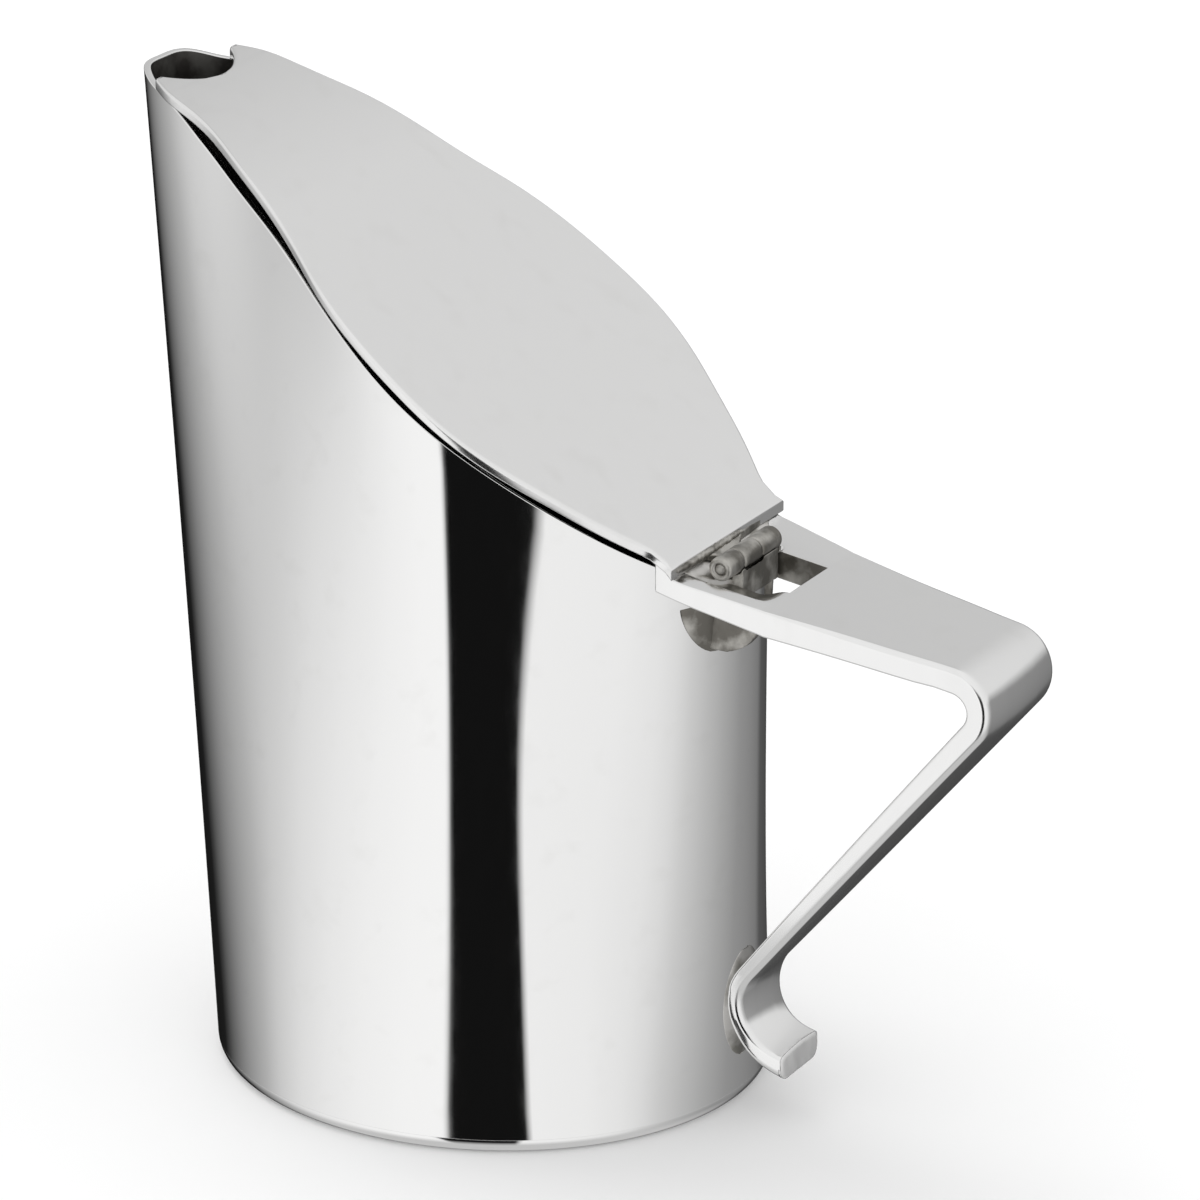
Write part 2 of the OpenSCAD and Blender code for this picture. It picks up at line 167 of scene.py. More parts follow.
def sprung(tree, place):
    """The rolled sheet's twist: its face turns a few degrees towards the lip and towards the foot."""
    def calc(operation, *values):
        return maths(tree, operation, *values)

    split = tree.nodes.new("ShaderNodeSeparateXYZ")
    tree.links.new(place.outputs["Object"], split.inputs["Vector"])
    x, z = split.outputs["X"], split.outputs["Z"]
    over = calc("SMOOTH_MAX", calc("SUBTRACT", z, spring_from_z), 0, spring_blend)
    under = calc("SMOOTH_MAX", calc("SUBTRACT", spring_to_z, z), 0, spring_blend)
    front = calc("SMOOTH_MIN", x, spring_x, spring_blend)
    raised = calc("MULTIPLY", calc("MULTIPLY", over, front), -spring_top)
    lowered = calc("MULTIPLY", calc("MULTIPLY", under, x), spring_low)
    bump = node(tree, "ShaderNodeBump", Strength=1, Distance=1)
    tree.links.new(calc("ADD", raised, lowered), bump.inputs["Height"])
    return bump.outputs["Normal"]


print("the sheet turns above", spring_from_z / mm, "mm and below", spring_to_z / mm, "mm")

# %% [markdown]
# ## One function for every finish
# A pattern of stains mixes two colours, a finer pattern of rubbing sets the roughness, and two bumps stand
# for the hammer's waves and for polishing marks. The bumps are chained, the coarse one first, so that the
# fine marks lie on its slopes. The scales are features to the metre, so the same marks come out at one
# size on every piece.

# %% One function for every finish
stain_scale, rub_scale, wave_scale, mark_scale = 260, 900, 90, 2600
stain_from, stain_full, stain_pull = 0.62, 0.78, 0.4
rub_from, rub_full = 0.3, 0.7
rub_stretch = (1, 1, 0.25)
relief = 0.5


def silver(name, clean, dull, rough, blotch, waves, marks, rolled=False):
    """A silver finish. clean and dull are its two colours, rough its lowest and highest roughness, blotch the
    share of the surface that is dull, waves the depth of the hammer's waves and marks that of fine marks."""
    material = bpy.data.materials.new(name)
    material.use_nodes = True
    tree = material.node_tree
    shader = tree.nodes["Principled BSDF"]
    shader.inputs["Metallic"].default_value = 1
    place = tree.nodes.new("ShaderNodeTexCoord")
    pull = blotch * stain_pull
    stain = ranged(tree, noise_of(tree, place, stain_scale, 6), stain_from - pull, stain_full - pull, 0, 1)
    colour = node(tree, "ShaderNodeMix")
    colour.data_type = "RGBA"
    colour.inputs["A"].default_value = (*clean, 1)
    colour.inputs["B"].default_value = (*dull, 1)
    tree.links.new(stain, colour.inputs["Factor"])
    tree.links.new(colour.outputs["Result"], shader.inputs["Base Color"])
    rub = noise_of(tree, place, rub_scale, 5, rub_stretch)
    tree.links.new(ranged(tree, rub, rub_from, rub_full, *rough), shader.inputs["Roughness"])
    hammered = node(tree, "ShaderNodeBump", Strength=relief, Distance=waves)
    tree.links.new(noise_of(tree, place, wave_scale, 1), hammered.inputs["Height"])
    if rolled:
        tree.links.new(sprung(tree, place), hammered.inputs["Normal"])
    scratched = node(tree, "ShaderNodeBump", Strength=relief, Distance=marks)
    tree.links.new(noise_of(tree, place, mark_scale, 6), scratched.inputs["Height"])
    tree.links.new(hammered.outputs["Normal"], scratched.inputs["Normal"])
    tree.links.new(scratched.outputs["Normal"], shader.inputs["Normal"])
    return material


print("patterns to the metre:", stain_scale, rub_scale, wave_scale, mark_scale)

# %% The finishes
bright, breathed_on = (0.95, 0.948, 0.943), (0.925, 0.922, 0.915)
polished = silver("mirror_polish", bright, breathed_on, (0.04, 0.07), 0.12, 0.004 * mm, 0.0003 * mm)
sheet = silver("rolled_mirror", bright, breathed_on, (0.04, 0.07), 0.12, 0.004 * mm, 0.0003 * mm, True)
satin = silver("satin_rub", (0.945, 0.943, 0.938), breathed_on, (0.2, 0.24), 0.15,
               0.003 * mm, 0.0008 * mm)
# Tarnish on the hinge; in the handle's slot and hollow also painted shade; on the wedges a painted
# reflection.
tarnish_shade_and_reflection = silver("solder_tarnish_shade_and_reflection", (0.56, 0.545, 0.51), (0.2, 0.19, 0.17), (0.32, 0.5), 0.6,
                   0.05 * mm, 0.03 * mm)
filed = silver("filed_end", (0.96, 0.958, 0.953), (0.93, 0.927, 0.92), (0.5, 0.62), 0.2,
               0.02 * mm, 0.002 * mm)
handled = silver("hand_worn", bright, (0.93, 0.927, 0.92), (0.13, 0.18), 0.12,
                 0.003 * mm, 0.0006 * mm)
worn = silver("worn_solder", (0.72, 0.705, 0.68), (0.34, 0.33, 0.3), (0.28, 0.42), 0.5,
              0.03 * mm, 0.012 * mm)
# The inside's near-black colour is painted shade inside the closed cup; its roughness is that of raw sheet.
raw_and_painted_shade = silver("raw_inside_painted_shade", (0.16, 0.155, 0.145), (0.07, 0.065, 0.06), (0.4, 0.55), 0.5,
                    0.02 * mm, 0.01 * mm)
print("finishes:", [m.name for m in (polished, sheet, satin, handled, filed, tarnish_shade_and_reflection, worn, raw_and_painted_shade)])

# %% [markdown]
# ## Sizes and control points
# The mouth is an oval drawn out to a pouring lip, cut on a slant. Its outline is a smooth curve drawn by
# a few control points, given as shares of its length and width, the same as in the solids. The lid's
# underside falls along one slope and then droops towards the lip, and the mouth follows it with a small
# gap.

# %% Sizes and control points
base_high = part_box("base_plate")[1]
base_half_len = base_high.x
base_half_w = base_high.y
base_t = base_high.z
lip_reach = -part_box("body_wall")[0].x
mouth_half_w = 23.2 * mm
lid_half_w = 23.52 * mm
wall_t = 0.75 * mm
lid_t = 1 * mm
lid_slope = math.radians(36.1)
lid_back_z = 59.4 * mm
lid_droop = 7.46 * mm
droop_x = 15.3 * mm
seat_gap = 0.15 * mm
lid_gap = 0.65 * mm
wall_dip = 1.05 * mm
dip_x = 22 * mm
dip_spread = 6.5 * mm
gap_end_x = 34.6 * mm
lip_rise = 0.55 * mm
rise_x = 36.4 * mm
mouth_shares = [
    (1.037, 0), (0.972, 0.296), (0.816, 0.553), (0.617, 0.748), (0.421, 0.891), (0.245, 0.979),
    (0.089, 1.008), (-0.041, 0.984), (-0.149, 0.922), (-0.263, 0.835), (-0.382, 0.734), (-0.504, 0.627),
    (-0.627, 0.531), (-0.745, 0.446), (-0.847, 0.36), (-0.927, 0.272), (-0.98, 0.184), (-0.997, 0.093),
    (-0.994, 0)]
lid_shares = [
    (0.831, 0.522), (0.699, 0.67), (0.549, 0.788), (0.403, 0.911), (0.235, 0.989), (0.058, 0.985),
    (-0.087, 0.955), (-0.211, 0.884), (-0.321, 0.757), (-0.439, 0.664), (-0.562, 0.581), (-0.674, 0.468),
    (-0.806, 0.419), (-0.908, 0.28)]
print("base", round(2 * base_half_len / mm, 1), "by", round(2 * base_half_w / mm, 1), "mm")

# %% [markdown]
# ## Curves in plan
# Four neighbouring control points draw each stretch of the outline, so it has no corner anywhere. Such a
# curve passes near its points and not through them, and the points were chosen with that in mind. The base
# is a plain oval. Both outlines take the same angle, so each place on the base has its partner on the
# mouth.

# %% Curves in plan
def mix(a, b, k):
    return a + (b - a) * k


def ease(k):
    """Goes from 0 to 1 without a corner at either end."""
    k = min(1, max(0, k))
    return k * k * (3 - 2 * k)


def placed(share, half_w):
    """A control point from its shares: forward ones of the lip's reach, backward ones of half the base."""
    return Vector((share[0] * (base_half_len if share[0] > 0 else lip_reach), share[1] * half_w))


def smooth_curve(points, t):
    """The curve that neighbouring control points draw, t counting from the second point."""
    i = min(int(t), len(points) - 4)
    f = t - i
    g = 1 - f
    a, b, c, d = points[i:i + 4]
    return (a * g ** 3 + b * (3 * f ** 3 - 6 * f * f + 4) + c * (3 * g ** 3 - 6 * g * g + 4) + d * f ** 3) / 6


right_half = [placed(s, mouth_half_w) for s in mouth_shares]
mirrored = Matrix(((1, 0), (0, -1)))
mouth_points = [mirrored @ right_half[1]] + right_half + [mirrored @ right_half[-2]]


def mouth_at(angle):
    """A point of the mouth in plan. The angle goes from 0 at the back to 180 at the lip and on round."""
    angle %= 360
    if angle > 180:
        return mirrored @ mouth_at(360 - angle)
    return smooth_curve(mouth_points, angle / 180 * (len(right_half) - 1))


def base_at(angle):
    turn = math.radians(angle)
    return Vector((base_half_len * math.cos(turn), base_half_w * math.sin(turn)))


def inward(outline, angle):
    """The plan direction that points into the cup, square to the outline."""
    step = outline(angle + 0.5) - outline(angle - 0.5)
    return Vector((-step.y, step.x)).normalized()


print("mouth's half width is", round(max(mouth_at(a).y for a in range(181)) / mm, 2), "mm")

# %% [markdown]
# ## Heights of the lid and the mouth
# The lid's underside is a slope, straight over the cup and drooping like a parabola towards the lip. The
# mouth is cut to the same rule with a small gap, dips where the photograph shows a dark slit under the
# lid, and rises again at the very lip.

# %% Heights of the lid and the mouth
def lid_z(x):
    droop = max(0, -x - droop_x) / (lip_reach - droop_x)
    return lid_back_z + (base_half_len - x) * math.tan(lid_slope) - lid_droop * droop ** 2


def mouth_z(x):
    rise = lip_rise * ease((-x - rise_x) / (lip_reach - rise_x))
    dip = wall_dip * math.exp(-((x + dip_x) / dip_spread) ** 2)
    return lid_z(x) - seat_gap + rise - ease((x + gap_end_x) / dip_spread) * (lid_gap - seat_gap + dip)


lip_x = mouth_at(180).x
print("lip at", round(lip_x / mm, 2), "mm, its height", round(mouth_z(lip_x) / mm, 2), "mm")

# %% [markdown]
# ## Pieces from points
# A few small helpers keep the later cells short. They turn points and faces into a named piece, close
# rings of points into a solid, say which body a piece rides on, and add a smooth bevel, because no sheet
# edge on hand-finished silver is truly sharp.

# %% Pieces from points
def linked(name, mesh):
    """An object in the scene for a mesh."""
    made = bpy.data.objects.new(name, mesh)
    bpy.context.scene.collection.objects.link(made)
    return made


def face_outwards(mesh):
    """Turns all faces of a closed mesh outwards."""
    work = bmesh.new()
    work.from_mesh(mesh)
    bmesh.ops.recalc_face_normals(work, faces=work.faces)
    work.to_mesh(mesh)
    work.free()


def shade_smooth(mesh):
    mesh.polygons.foreach_set("use_smooth", [True] * len(mesh.polygons))


def piece(name, verts, faces, material):
    """A smooth mesh object at the origin, with its normals outwards."""
    mesh = bpy.data.meshes.new(name)
    mesh.from_pydata([tuple(v) for v in verts], [], faces)
    mesh.materials.append(material)
    face_outwards(mesh)
    shade_smooth(mesh)
    return linked(name, mesh)


def ring_faces(rings, count):
    """Faces between so many rings of equal count, with both ends closed."""
    faces = []
    for j in range(rings - 1):
        for i in range(count):
            k = (i + 1) % count
            faces.append((j * count + i, j * count + k, (j + 1) * count + k, (j + 1) * count + i))
    return faces + [tuple(range(count)), tuple((rings - 1) * count + i for i in range(count))]


sharp_from = math.radians(35)


def soften(made, width, segments=3, by_weight=False):
    """Rounds the edges with a live bevel and lets the large faces keep their own direction."""
    bevel = made.modifiers.new("rounded_edges", "BEVEL")
    bevel.width = width
    bevel.segments = segments
    bevel.limit_method = "WEIGHT" if by_weight else "ANGLE"
    bevel.angle_limit = sharp_from
    bevel.use_clamp_overlap = False
    made.modifiers.new("even_shading", "WEIGHTED_NORMAL")
    return made


def dress(made, body, cad_node):
    """Says what the piece rides on and hides the solid that it stands for."""
    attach(made, body)
    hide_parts(cad_node)
    return made


print("edges sharper than", round(math.degrees(sharp_from)), "degrees are rounded")

# %% [markdown]
# ## The wall
# The real wall is one sheet, so a straight line runs from each point of the base to its point on the
# mouth. Such a surface follows a rule, and Geometry Nodes can draw it: one small mesh gives the line of
# the mouth with the foot of each straight line, another gives the section of the sheet from its foot over
# the rim and down inside, and the tree lays one along the other. The rim's two edges are part of the
# section, rounded as if filed.

# %% The outlines that the tree reads
around = 384
rows_up = 26
rim_r = 0.12 * mm
hold = 0.02 * mm
rim_steps = 4
mean_height = 80 * mm


def wall_section():
    """Points of the sheet's section: x is the share of the way up, y the depth into the sheet."""
    rim = [(90 * i / rim_steps) for i in range(rim_steps + 1)]
    drop = [rim_r * (1 - math.sin(math.radians(a))) / mean_height for a in rim]
    depth = [rim_r * (1 - math.cos(math.radians(a))) for a in rim]
    held = hold / mean_height
    shares = [0, held] + [mix(held * 2, 1 - drop[0] - held, i / rows_up) for i in range(rows_up + 1)]
    outside = [(k, 0) for k in shares]
    over = [(1 - d, y) for d, y in zip(drop, depth)]
    back_over = [(k, wall_t - y) for k, y in reversed(over)]
    inside = [(k, wall_t) for k in reversed(shares[::2])]
    return outside + over + back_over + inside


def line_mesh(name, points):
    mesh = bpy.data.meshes.new(name)
    mesh.from_pydata([tuple(p) for p in points], [], [])
    return linked(name, mesh)


def add_vectors(mesh, name, vectors):
    attribute = mesh.attributes.new(name, "FLOAT_VECTOR", "POINT")
    attribute.data.foreach_set("vector", [c for v in vectors for c in v])


def mouth_line():
    """The mouth's points, each with its foot and with the two directions into the sheet."""
    angles = [360 * i / around for i in range(around)]
    tops = [mouth_at(a) for a in angles]
    made = line_mesh("mouth_line", [(p.x, p.y, mouth_z(p.x)) for p in tops])
    add_vectors(made.data, "foot", [(*base_at(a), base_t) for a in angles])
    add_vectors(made.data, "foot_inward", [(*inward(base_at, a), 0) for a in angles])
    add_vectors(made.data, "mouth_inward", [(*inward(mouth_at, a), 0) for a in angles])
    return made


mouth_piece = mouth_line()
section_piece = line_mesh("sheet_section", [(k, y, 0) for k, y in wall_section()])
print("mouth points:", len(mouth_piece.data.vertices), "section points:", len(section_piece.data.vertices))

# %% [markdown]
# ## The tree that rules the wall
# The tree starts from a grid with a column for each point of the mouth and a row for each point of the
# section. The row says how far up a point lies and how deep in the sheet, and the column says on which
# straight line. The last column and row repeat the first ones, and a merge by distance closes the seams.
# The depth is kept as an attribute, so that the inside can take its own finish. Realize Instances and Set
# Material end the tree, because the export reads real faces only.

# %% The tree that rules the wall
def tree_kit(tree):
    """Short ways to add a node, a sum and a sampled value to a geometry tree."""
    def add(kind, **settings):
        made = tree.nodes.new(kind)
        for name, value in settings.items():
            setattr(made, name, value)
        return made

    def join(source, target):
        tree.links.new(source, target)

    def math_of(operation, a, b):
        return maths(tree, operation, a, b)

    def along(operation, a, b):
        made = add("ShaderNodeVectorMath", operation=operation)
        join(a, made.inputs[0])
        join(b, made.inputs["Scale" if operation == "SCALE" else 1])
        return made.outputs["Vector"]

    return add, join, math_of, along


def ruled_wall_tree():
    tree = bpy.data.node_groups.new("ruled_wall", "GeometryNodeTree")
    for name, way, kind in (("Geometry", "INPUT", "NodeSocketGeometry"),
                            ("Sheet Section", "INPUT", "NodeSocketObject"),
                            ("Finish", "INPUT", "NodeSocketMaterial"),
                            ("Geometry", "OUTPUT", "NodeSocketGeometry")):
        tree.interface.new_socket(name, in_out=way, socket_type=kind)
    add, join, math_of, along = tree_kit(tree)
    given = add("NodeGroupInput")
    section = add("GeometryNodeObjectInfo")
    join(given.outputs["Sheet Section"], section.inputs["Object"])
    counts = []
    for source in (given.outputs["Geometry"], section.outputs["Geometry"]):
        size = add("GeometryNodeAttributeDomainSize")
        join(source, size.inputs["Geometry"])
        counts.append(size.outputs["Point Count"])
    points_round, points_up = counts
    grid = add("GeometryNodeMeshGrid")
    columns = math_of("ADD", points_round, 1)
    rows = math_of("ADD", points_up, 1)
    join(columns, grid.inputs["Vertices X"])
    join(rows, grid.inputs["Vertices Y"])
    index = add("GeometryNodeInputIndex").outputs["Index"]
    column = math_of("FLOOR", math_of("DIVIDE", index, rows), 0)
    row = math_of("SUBTRACT", index, math_of("MULTIPLY", column, rows))
    column = math_of("MODULO", column, points_round)
    row = math_of("MODULO", row, points_up)

    def sampled(geometry, value, at):
        made = add("GeometryNodeSampleIndex", data_type="FLOAT_VECTOR")
        join(geometry, made.inputs["Geometry"])
        join(value, made.inputs["Value"])
        join(at, made.inputs["Index"])
        return made.outputs["Value"]

    def named(name):
        made = add("GeometryNodeInputNamedAttribute", data_type="FLOAT_VECTOR")
        made.inputs["Name"].default_value = name
        return made.outputs["Attribute"]

    here = add("GeometryNodeInputPosition").outputs["Position"]
    ring = given.outputs["Geometry"]
    split = add("ShaderNodeSeparateXYZ")
    join(sampled(section.outputs["Geometry"], here, row), split.inputs["Vector"])
    share, depth = split.outputs["X"], split.outputs["Y"]
    ends = []
    for point, direction in ((named("foot"), named("foot_inward")), (here, named("mouth_inward"))):
        moved = along("SCALE", sampled(ring, direction, column), depth)
        ends.append(along("ADD", sampled(ring, point, column), moved))
    between = add("ShaderNodeMix", data_type="VECTOR")
    join(share, between.inputs["Factor"])
    vector_sockets = [s for s in between.inputs if s.type == "VECTOR" and s.name in ("A", "B")]
    join(ends[0], vector_sockets[0])
    join(ends[1], vector_sockets[1])
    bent = add("GeometryNodeSetPosition")
    join(grid.outputs["Mesh"], bent.inputs["Geometry"])
    join([s for s in between.outputs if s.type == "VECTOR"][0], bent.inputs["Position"])
    kept = add("GeometryNodeStoreNamedAttribute", data_type="FLOAT")
    kept.inputs["Name"].default_value = "depth"
    join(bent.outputs["Geometry"], kept.inputs["Geometry"])
    join(depth, kept.inputs["Value"])
    closed = add("GeometryNodeMergeByDistance")
    closed.inputs["Distance"].default_value = 0.001 * mm
    join(kept.outputs["Geometry"], closed.inputs["Geometry"])
    smooth = add("GeometryNodeSetShadeSmooth")
    join(closed.outputs["Geometry"], smooth.inputs["Geometry"])
    real = add("GeometryNodeRealizeInstances")
    join(smooth.outputs["Geometry"], real.inputs["Geometry"])
    finish = add("GeometryNodeSetMaterial")
    join(real.outputs["Geometry"], finish.inputs["Geometry"])
    join(given.outputs["Finish"], finish.inputs["Material"])
    out = add("NodeGroupOutput")
    join(finish.outputs["Geometry"], out.inputs["Geometry"])
    return tree

# %% [markdown]
# ## The wall as a plain mesh
# The modifier's inputs are set by their identifiers, which are looked up from the names that the tree gave
# them. Then the evaluated object becomes a plain mesh, its faces are turned outwards, and those that lie
# at the sheet's full depth take the inside's finish, never polished and painted near black as shade.

# %% The wall as a plain mesh
def set_inputs(modifier, values):
    """Sets a tree's inputs by their identifiers, looked up from their names."""
    for item in modifier.node_group.interface.items_tree:
        if item.in_out == "INPUT" and item.name in values:
            modifier[item.identifier] = values[item.name]


def plain_copy(source, name, tree, values):
    """Runs a tree on an object and keeps the result as a plain mesh object; the source goes."""
    modifier = source.modifiers.new("rule", "NODES")
    modifier.node_group = tree
    set_inputs(modifier, values)
    bpy.context.view_layer.update()
    evaluated = source.evaluated_get(bpy.context.evaluated_depsgraph_get())
    mesh = bpy.data.meshes.new_from_object(evaluated)
    mesh.name = name
    made = linked(name, mesh)
    source.modifiers.remove(modifier)
    bpy.data.objects.remove(source)
    return made


wall = plain_copy(mouth_piece, "wall_sheet", ruled_wall_tree(),
                  {"Sheet Section": section_piece, "Finish": sheet})
bpy.data.objects.remove(section_piece)
face_outwards(wall.data)
wall.data.materials.clear()
for finish in (sheet, raw_and_painted_shade):
    wall.data.materials.append(finish)
depths = [d.value for d in wall.data.attributes["depth"].data]
# The inside faces take the finish painted near black as shade.
for face in wall.data.polygons:
    face.material_index = int(all(depths[v] > wall_t * 0.99 for v in face.vertices))
dress(wall, "body", "body_wall")
print("wall faces:", len(wall.data.polygons))

# %% [markdown]
# ## The base plate
# The wall stands on a plate whose lower edge is rounded over, so that it throws a thin dark line just
# above the table. It is turned from rings: each ring is the base oval, drawn in a little and lifted a
# little.

# %% The base plate
base_round, base_steps = 1.2 * mm, 12
seam_round, seam_steps = 0.02 * mm, 4
plate_inner, plate_middle = base_half_w * 0.75, base_half_w * 0.4
plate_count = 192


def plate_rings():
    """Depth and height of each ring, from under the plate, round its edge and back over its top."""
    under = [(plate_inner, 0), (plate_middle, 0), (base_round + seam_round, 0)]
    round_up = base_t - seam_round
    lower = [(base_round * (1 - math.sin(a)), round_up * (1 - math.cos(a)))
             for a in [math.radians(90 * i / base_steps) for i in range(base_steps + 1)]]
    upper = [(seam_round * (1 - math.cos(a)), base_t - seam_round * (1 - math.sin(a)))
             for a in [math.radians(90 * i / seam_steps) for i in range(1, seam_steps + 1)]]
    over = [(wall_t * 1.5, base_t), (plate_middle, base_t), (plate_inner, base_t)]
    return under + lower + upper + over


plate_points = []
for depth, height in plate_rings():
    for i in range(plate_count):
        angle = 360 * i / plate_count
        spot = base_at(angle) + inward(base_at, angle) * depth
        plate_points.append((spot.x, spot.y, height))
plate = piece("base_disc", plate_points, ring_faces(len(plate_rings()), plate_count), polished)
dress(plate, "body", "base_plate")
print("base plate faces:", len(plate.data.polygons))

# %% [markdown]
# ## The lid and its hinge strip
# The lid is one flat sheet, sawn to the mouth's outline, bent a little towards the lip, and filed to a
# round notch where milk pours out. It is laid out by stations along its length: each takes the half width
# from the outline's curve, and a row of points at that place lies on the lid's rule. The faces between two
# rows bend with the sheet. Then the skin is given its thickness, and weights on its sharp edges tell one
# bevel how far to round each. The strip soldered to its back edge is made by the same steps.

# %% The lid and its hinge strip
lid_back_x = base_half_len - 3.4 * mm
lid_edge_x = 27.55 * mm
ear_half_w = 12.3 * mm
root_y = ear_half_w - 2 * mm
waist_x, waist_half_w = 26.75 * mm, 11.95 * mm
tip_from_x, tip_spread_len, tip_spread = -29 * mm, 5 * mm, 0.4 * mm
notch_r, notch_x = 8.6 * mm, -41.1 * mm
notch_steps, notch_turn = 28, math.radians(1.8)
horn_least_w = 0.1 * mm
lid_step = 0.8 * mm
halvings = 30
lid_rise = lid_t / math.cos(lid_slope)
lid_round, lid_low_round = 0.4 * mm, 0.2 * mm
back_edge_share = 0.45
weight_from = math.radians(40)
same_spot = 0.002 * mm
half_lid = [placed(s, lid_half_w) for s in lid_shares]
lid_points = [half_lid[0] * 2 - half_lid[1]] + half_lid + [half_lid[-1] * 2 - half_lid[-2]]


def lid_half_width(x):
    """Half the lid's width at a place along it, found by halving the curve's own parameter."""
    if x > waist_x:
        return mix(waist_half_w, ear_half_w, (x - waist_x) / (lid_edge_x - waist_x))
    if x > half_lid[0].x:
        return mix(half_lid[0].y, waist_half_w, (x - half_lid[0].x) / (waist_x - half_lid[0].x))
    low, high = 0, len(half_lid) - 1
    for _ in range(halvings):
        middle = (low + high) / 2
        if smooth_curve(lid_points, middle).x > x:
            low = middle
        else:
            high = middle
    return smooth_curve(lid_points, low).y + tip_spread * ease((tip_from_x - x) / tip_spread_len)


def lid_stations():
    """Places along the lid, each with its outer and inner half width and whether its middle is there."""
    front = notch_x + notch_r
    count = round((waist_x - front) / lid_step)
    places = [mix(lid_edge_x, waist_x, i / 2) for i in range(2)]
    places += [mix(waist_x, front, i / count) for i in range(count + 1)]
    whole = [(x, lid_half_width(x), root_y * (x - front) / (lid_edge_x - front), True) for x in places]
    horns = []
    for i in range(1, notch_steps + 1):
        x = notch_x + notch_r * math.cos(i * notch_turn)
        inner = notch_r * math.sin(i * notch_turn)
        if lid_half_width(x) < inner + horn_least_w:
            break
        horns.append((x, lid_half_width(x), inner, False))
    return whole + horns


print("lid stations:", len(lid_stations()))

# %% [markdown]
# ## From stations to a sheet
# The points of two stations are joined by flat strips, one half first and then its mirror image, and the
# double points on the middle line are merged. Raising a copy of the skin gives the sheet its thickness.
# The bevel is wide on the upper edges, which hands touch, narrower below, and narrower still at the back,
# where the edge was sawn and left.

# %% From stations to a sheet
def skin_from_stations(stations):
    """The lid's underside as flat strips, one half and its mirror image."""
    points, faces = [], []
    for side in (1, -1):
        last = None
        for x, outer, inner, whole in stations:
            across = [outer, inner] + ([0] if whole else [])
            row = list(range(len(points), len(points) + len(across)))
            points += [Vector((x, side * y, lid_z(x))) for y in across]
            for i in range(min(len(row), len(last or [])) - 1):
                faces.append((last[i], last[i + 1], row[i + 1], row[i]))
            last = row
    return points, faces


def thickened(name, points, faces, thickness, material, top_round, low_round):
    """Gives a skin its thickness upwards and rounds its edges, the upper ones more."""
    mesh = bpy.data.meshes.new(name)
    mesh.from_pydata([tuple(p) for p in points], [], faces)
    mesh.materials.append(material)
    work = bmesh.new()
    work.from_mesh(mesh)
    bmesh.ops.remove_doubles(work, verts=work.verts, dist=same_spot)
    grown = bmesh.ops.extrude_face_region(work, geom=work.faces[:])
    upper = {part for part in grown["geom"] if isinstance(part, bmesh.types.BMVert)}
    for vert in upper:
        vert.co.z += thickness
    bmesh.ops.recalc_face_normals(work, faces=work.faces)
    weight = work.edges.layers.float.new("bevel_weight_edge")
    for edge in work.edges:
        if edge.is_manifold and edge.calc_face_angle() > weight_from:
            ends = sum(v in upper for v in edge.verts)
            edge[weight] = 1 if ends == 2 else low_round / top_round
            if all(v.co.x > lid_edge_x - 5 * same_spot for v in edge.verts):
                edge[weight] *= back_edge_share
    work.to_mesh(mesh)
    work.free()
    shade_smooth(mesh)
    return soften(linked(name, mesh), top_round, 4, by_weight=True)


lid = thickened("lid_sheet", *skin_from_stations(lid_stations()), lid_rise, satin, lid_round, lid_low_round)
dress(lid, "lid", "lid_plate")
print("lid faces:", len(lid.data.polygons))

# %% [markdown]
# ## The hinge strip
# A narrow strip under the lid's back edge carries the middle knuckle. Its outline is given point by point:
# wide where it is soldered on, and drawn in to a neck as wide as its knuckle. The places of the hinge are
# read from the solids, so the dressed hinge turns about the same line.

# %% The hinge strip
hinge_x = base_half_len
pin_low, pin_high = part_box("hinge_pin")
hinge_z = (pin_low.z + pin_high.z) / 2
pin_r = (pin_high.z - pin_low.z) / 2
knuckle_r = (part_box("left_knuckle")[1].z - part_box("left_knuckle")[0].z) / 2
(left_end, left_stop), (mid_start, mid_stop), (right_start, right_end) = [
    [corner.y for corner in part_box(name)] for name in ("left_knuckle", "lid_knuckle", "right_knuckle")]
neck_x = hinge_x - knuckle_r - 0.24 * mm
strip_end_x = hinge_x - knuckle_r * 0.6
flare = 2 * mm
strip_round, strip_low_round = 0.2 * mm, 0.1 * mm
strip_outline = [
    (lid_back_x, -root_y), (lid_back_x, root_y), (lid_back_x + flare * 0.4, root_y + flare * 0.6),
    (lid_back_x + flare * 0.55, mid_stop + flare), (neck_x, mid_stop), (strip_end_x, mid_stop),
    (strip_end_x, mid_start), (neck_x, mid_start), ((lid_back_x + neck_x) / 2, mid_start - flare),
    (lid_back_x + flare / 8, -root_y)]
strip_points = [Vector((x, y, lid_z(x))) for x, y in strip_outline]
strip = thickened("lid_back_strip", strip_points, [tuple(range(len(strip_points)))], lid_rise * 0.6,
                  tarnish_shade_and_reflection, strip_round, strip_low_round)
dress(strip, "lid", "lid_hinge_strip")
print("hinge axis at", round(hinge_x / mm, 2), round(hinge_z / mm, 2), "mm")

# %% [markdown]
# ## The knuckles and the pin
# Three short tubes turn about one pin. A turned shape is its outline swung about an axis, so one function
# makes them all: it takes the outline as pairs of place and radius. Handwork leaves a tube slightly out of
# round, and a little noise on each radius keeps the reflections from looking machined.

# %% The knuckles and the pin
turned_steps = 48
unevenness, uneven_scale = 0.03 * mm, 900
knuckle_round, knuckle_steps = 0.34 * mm, 4
bore_r = pin_r + 0.05 * mm
dome = 0.15 * mm


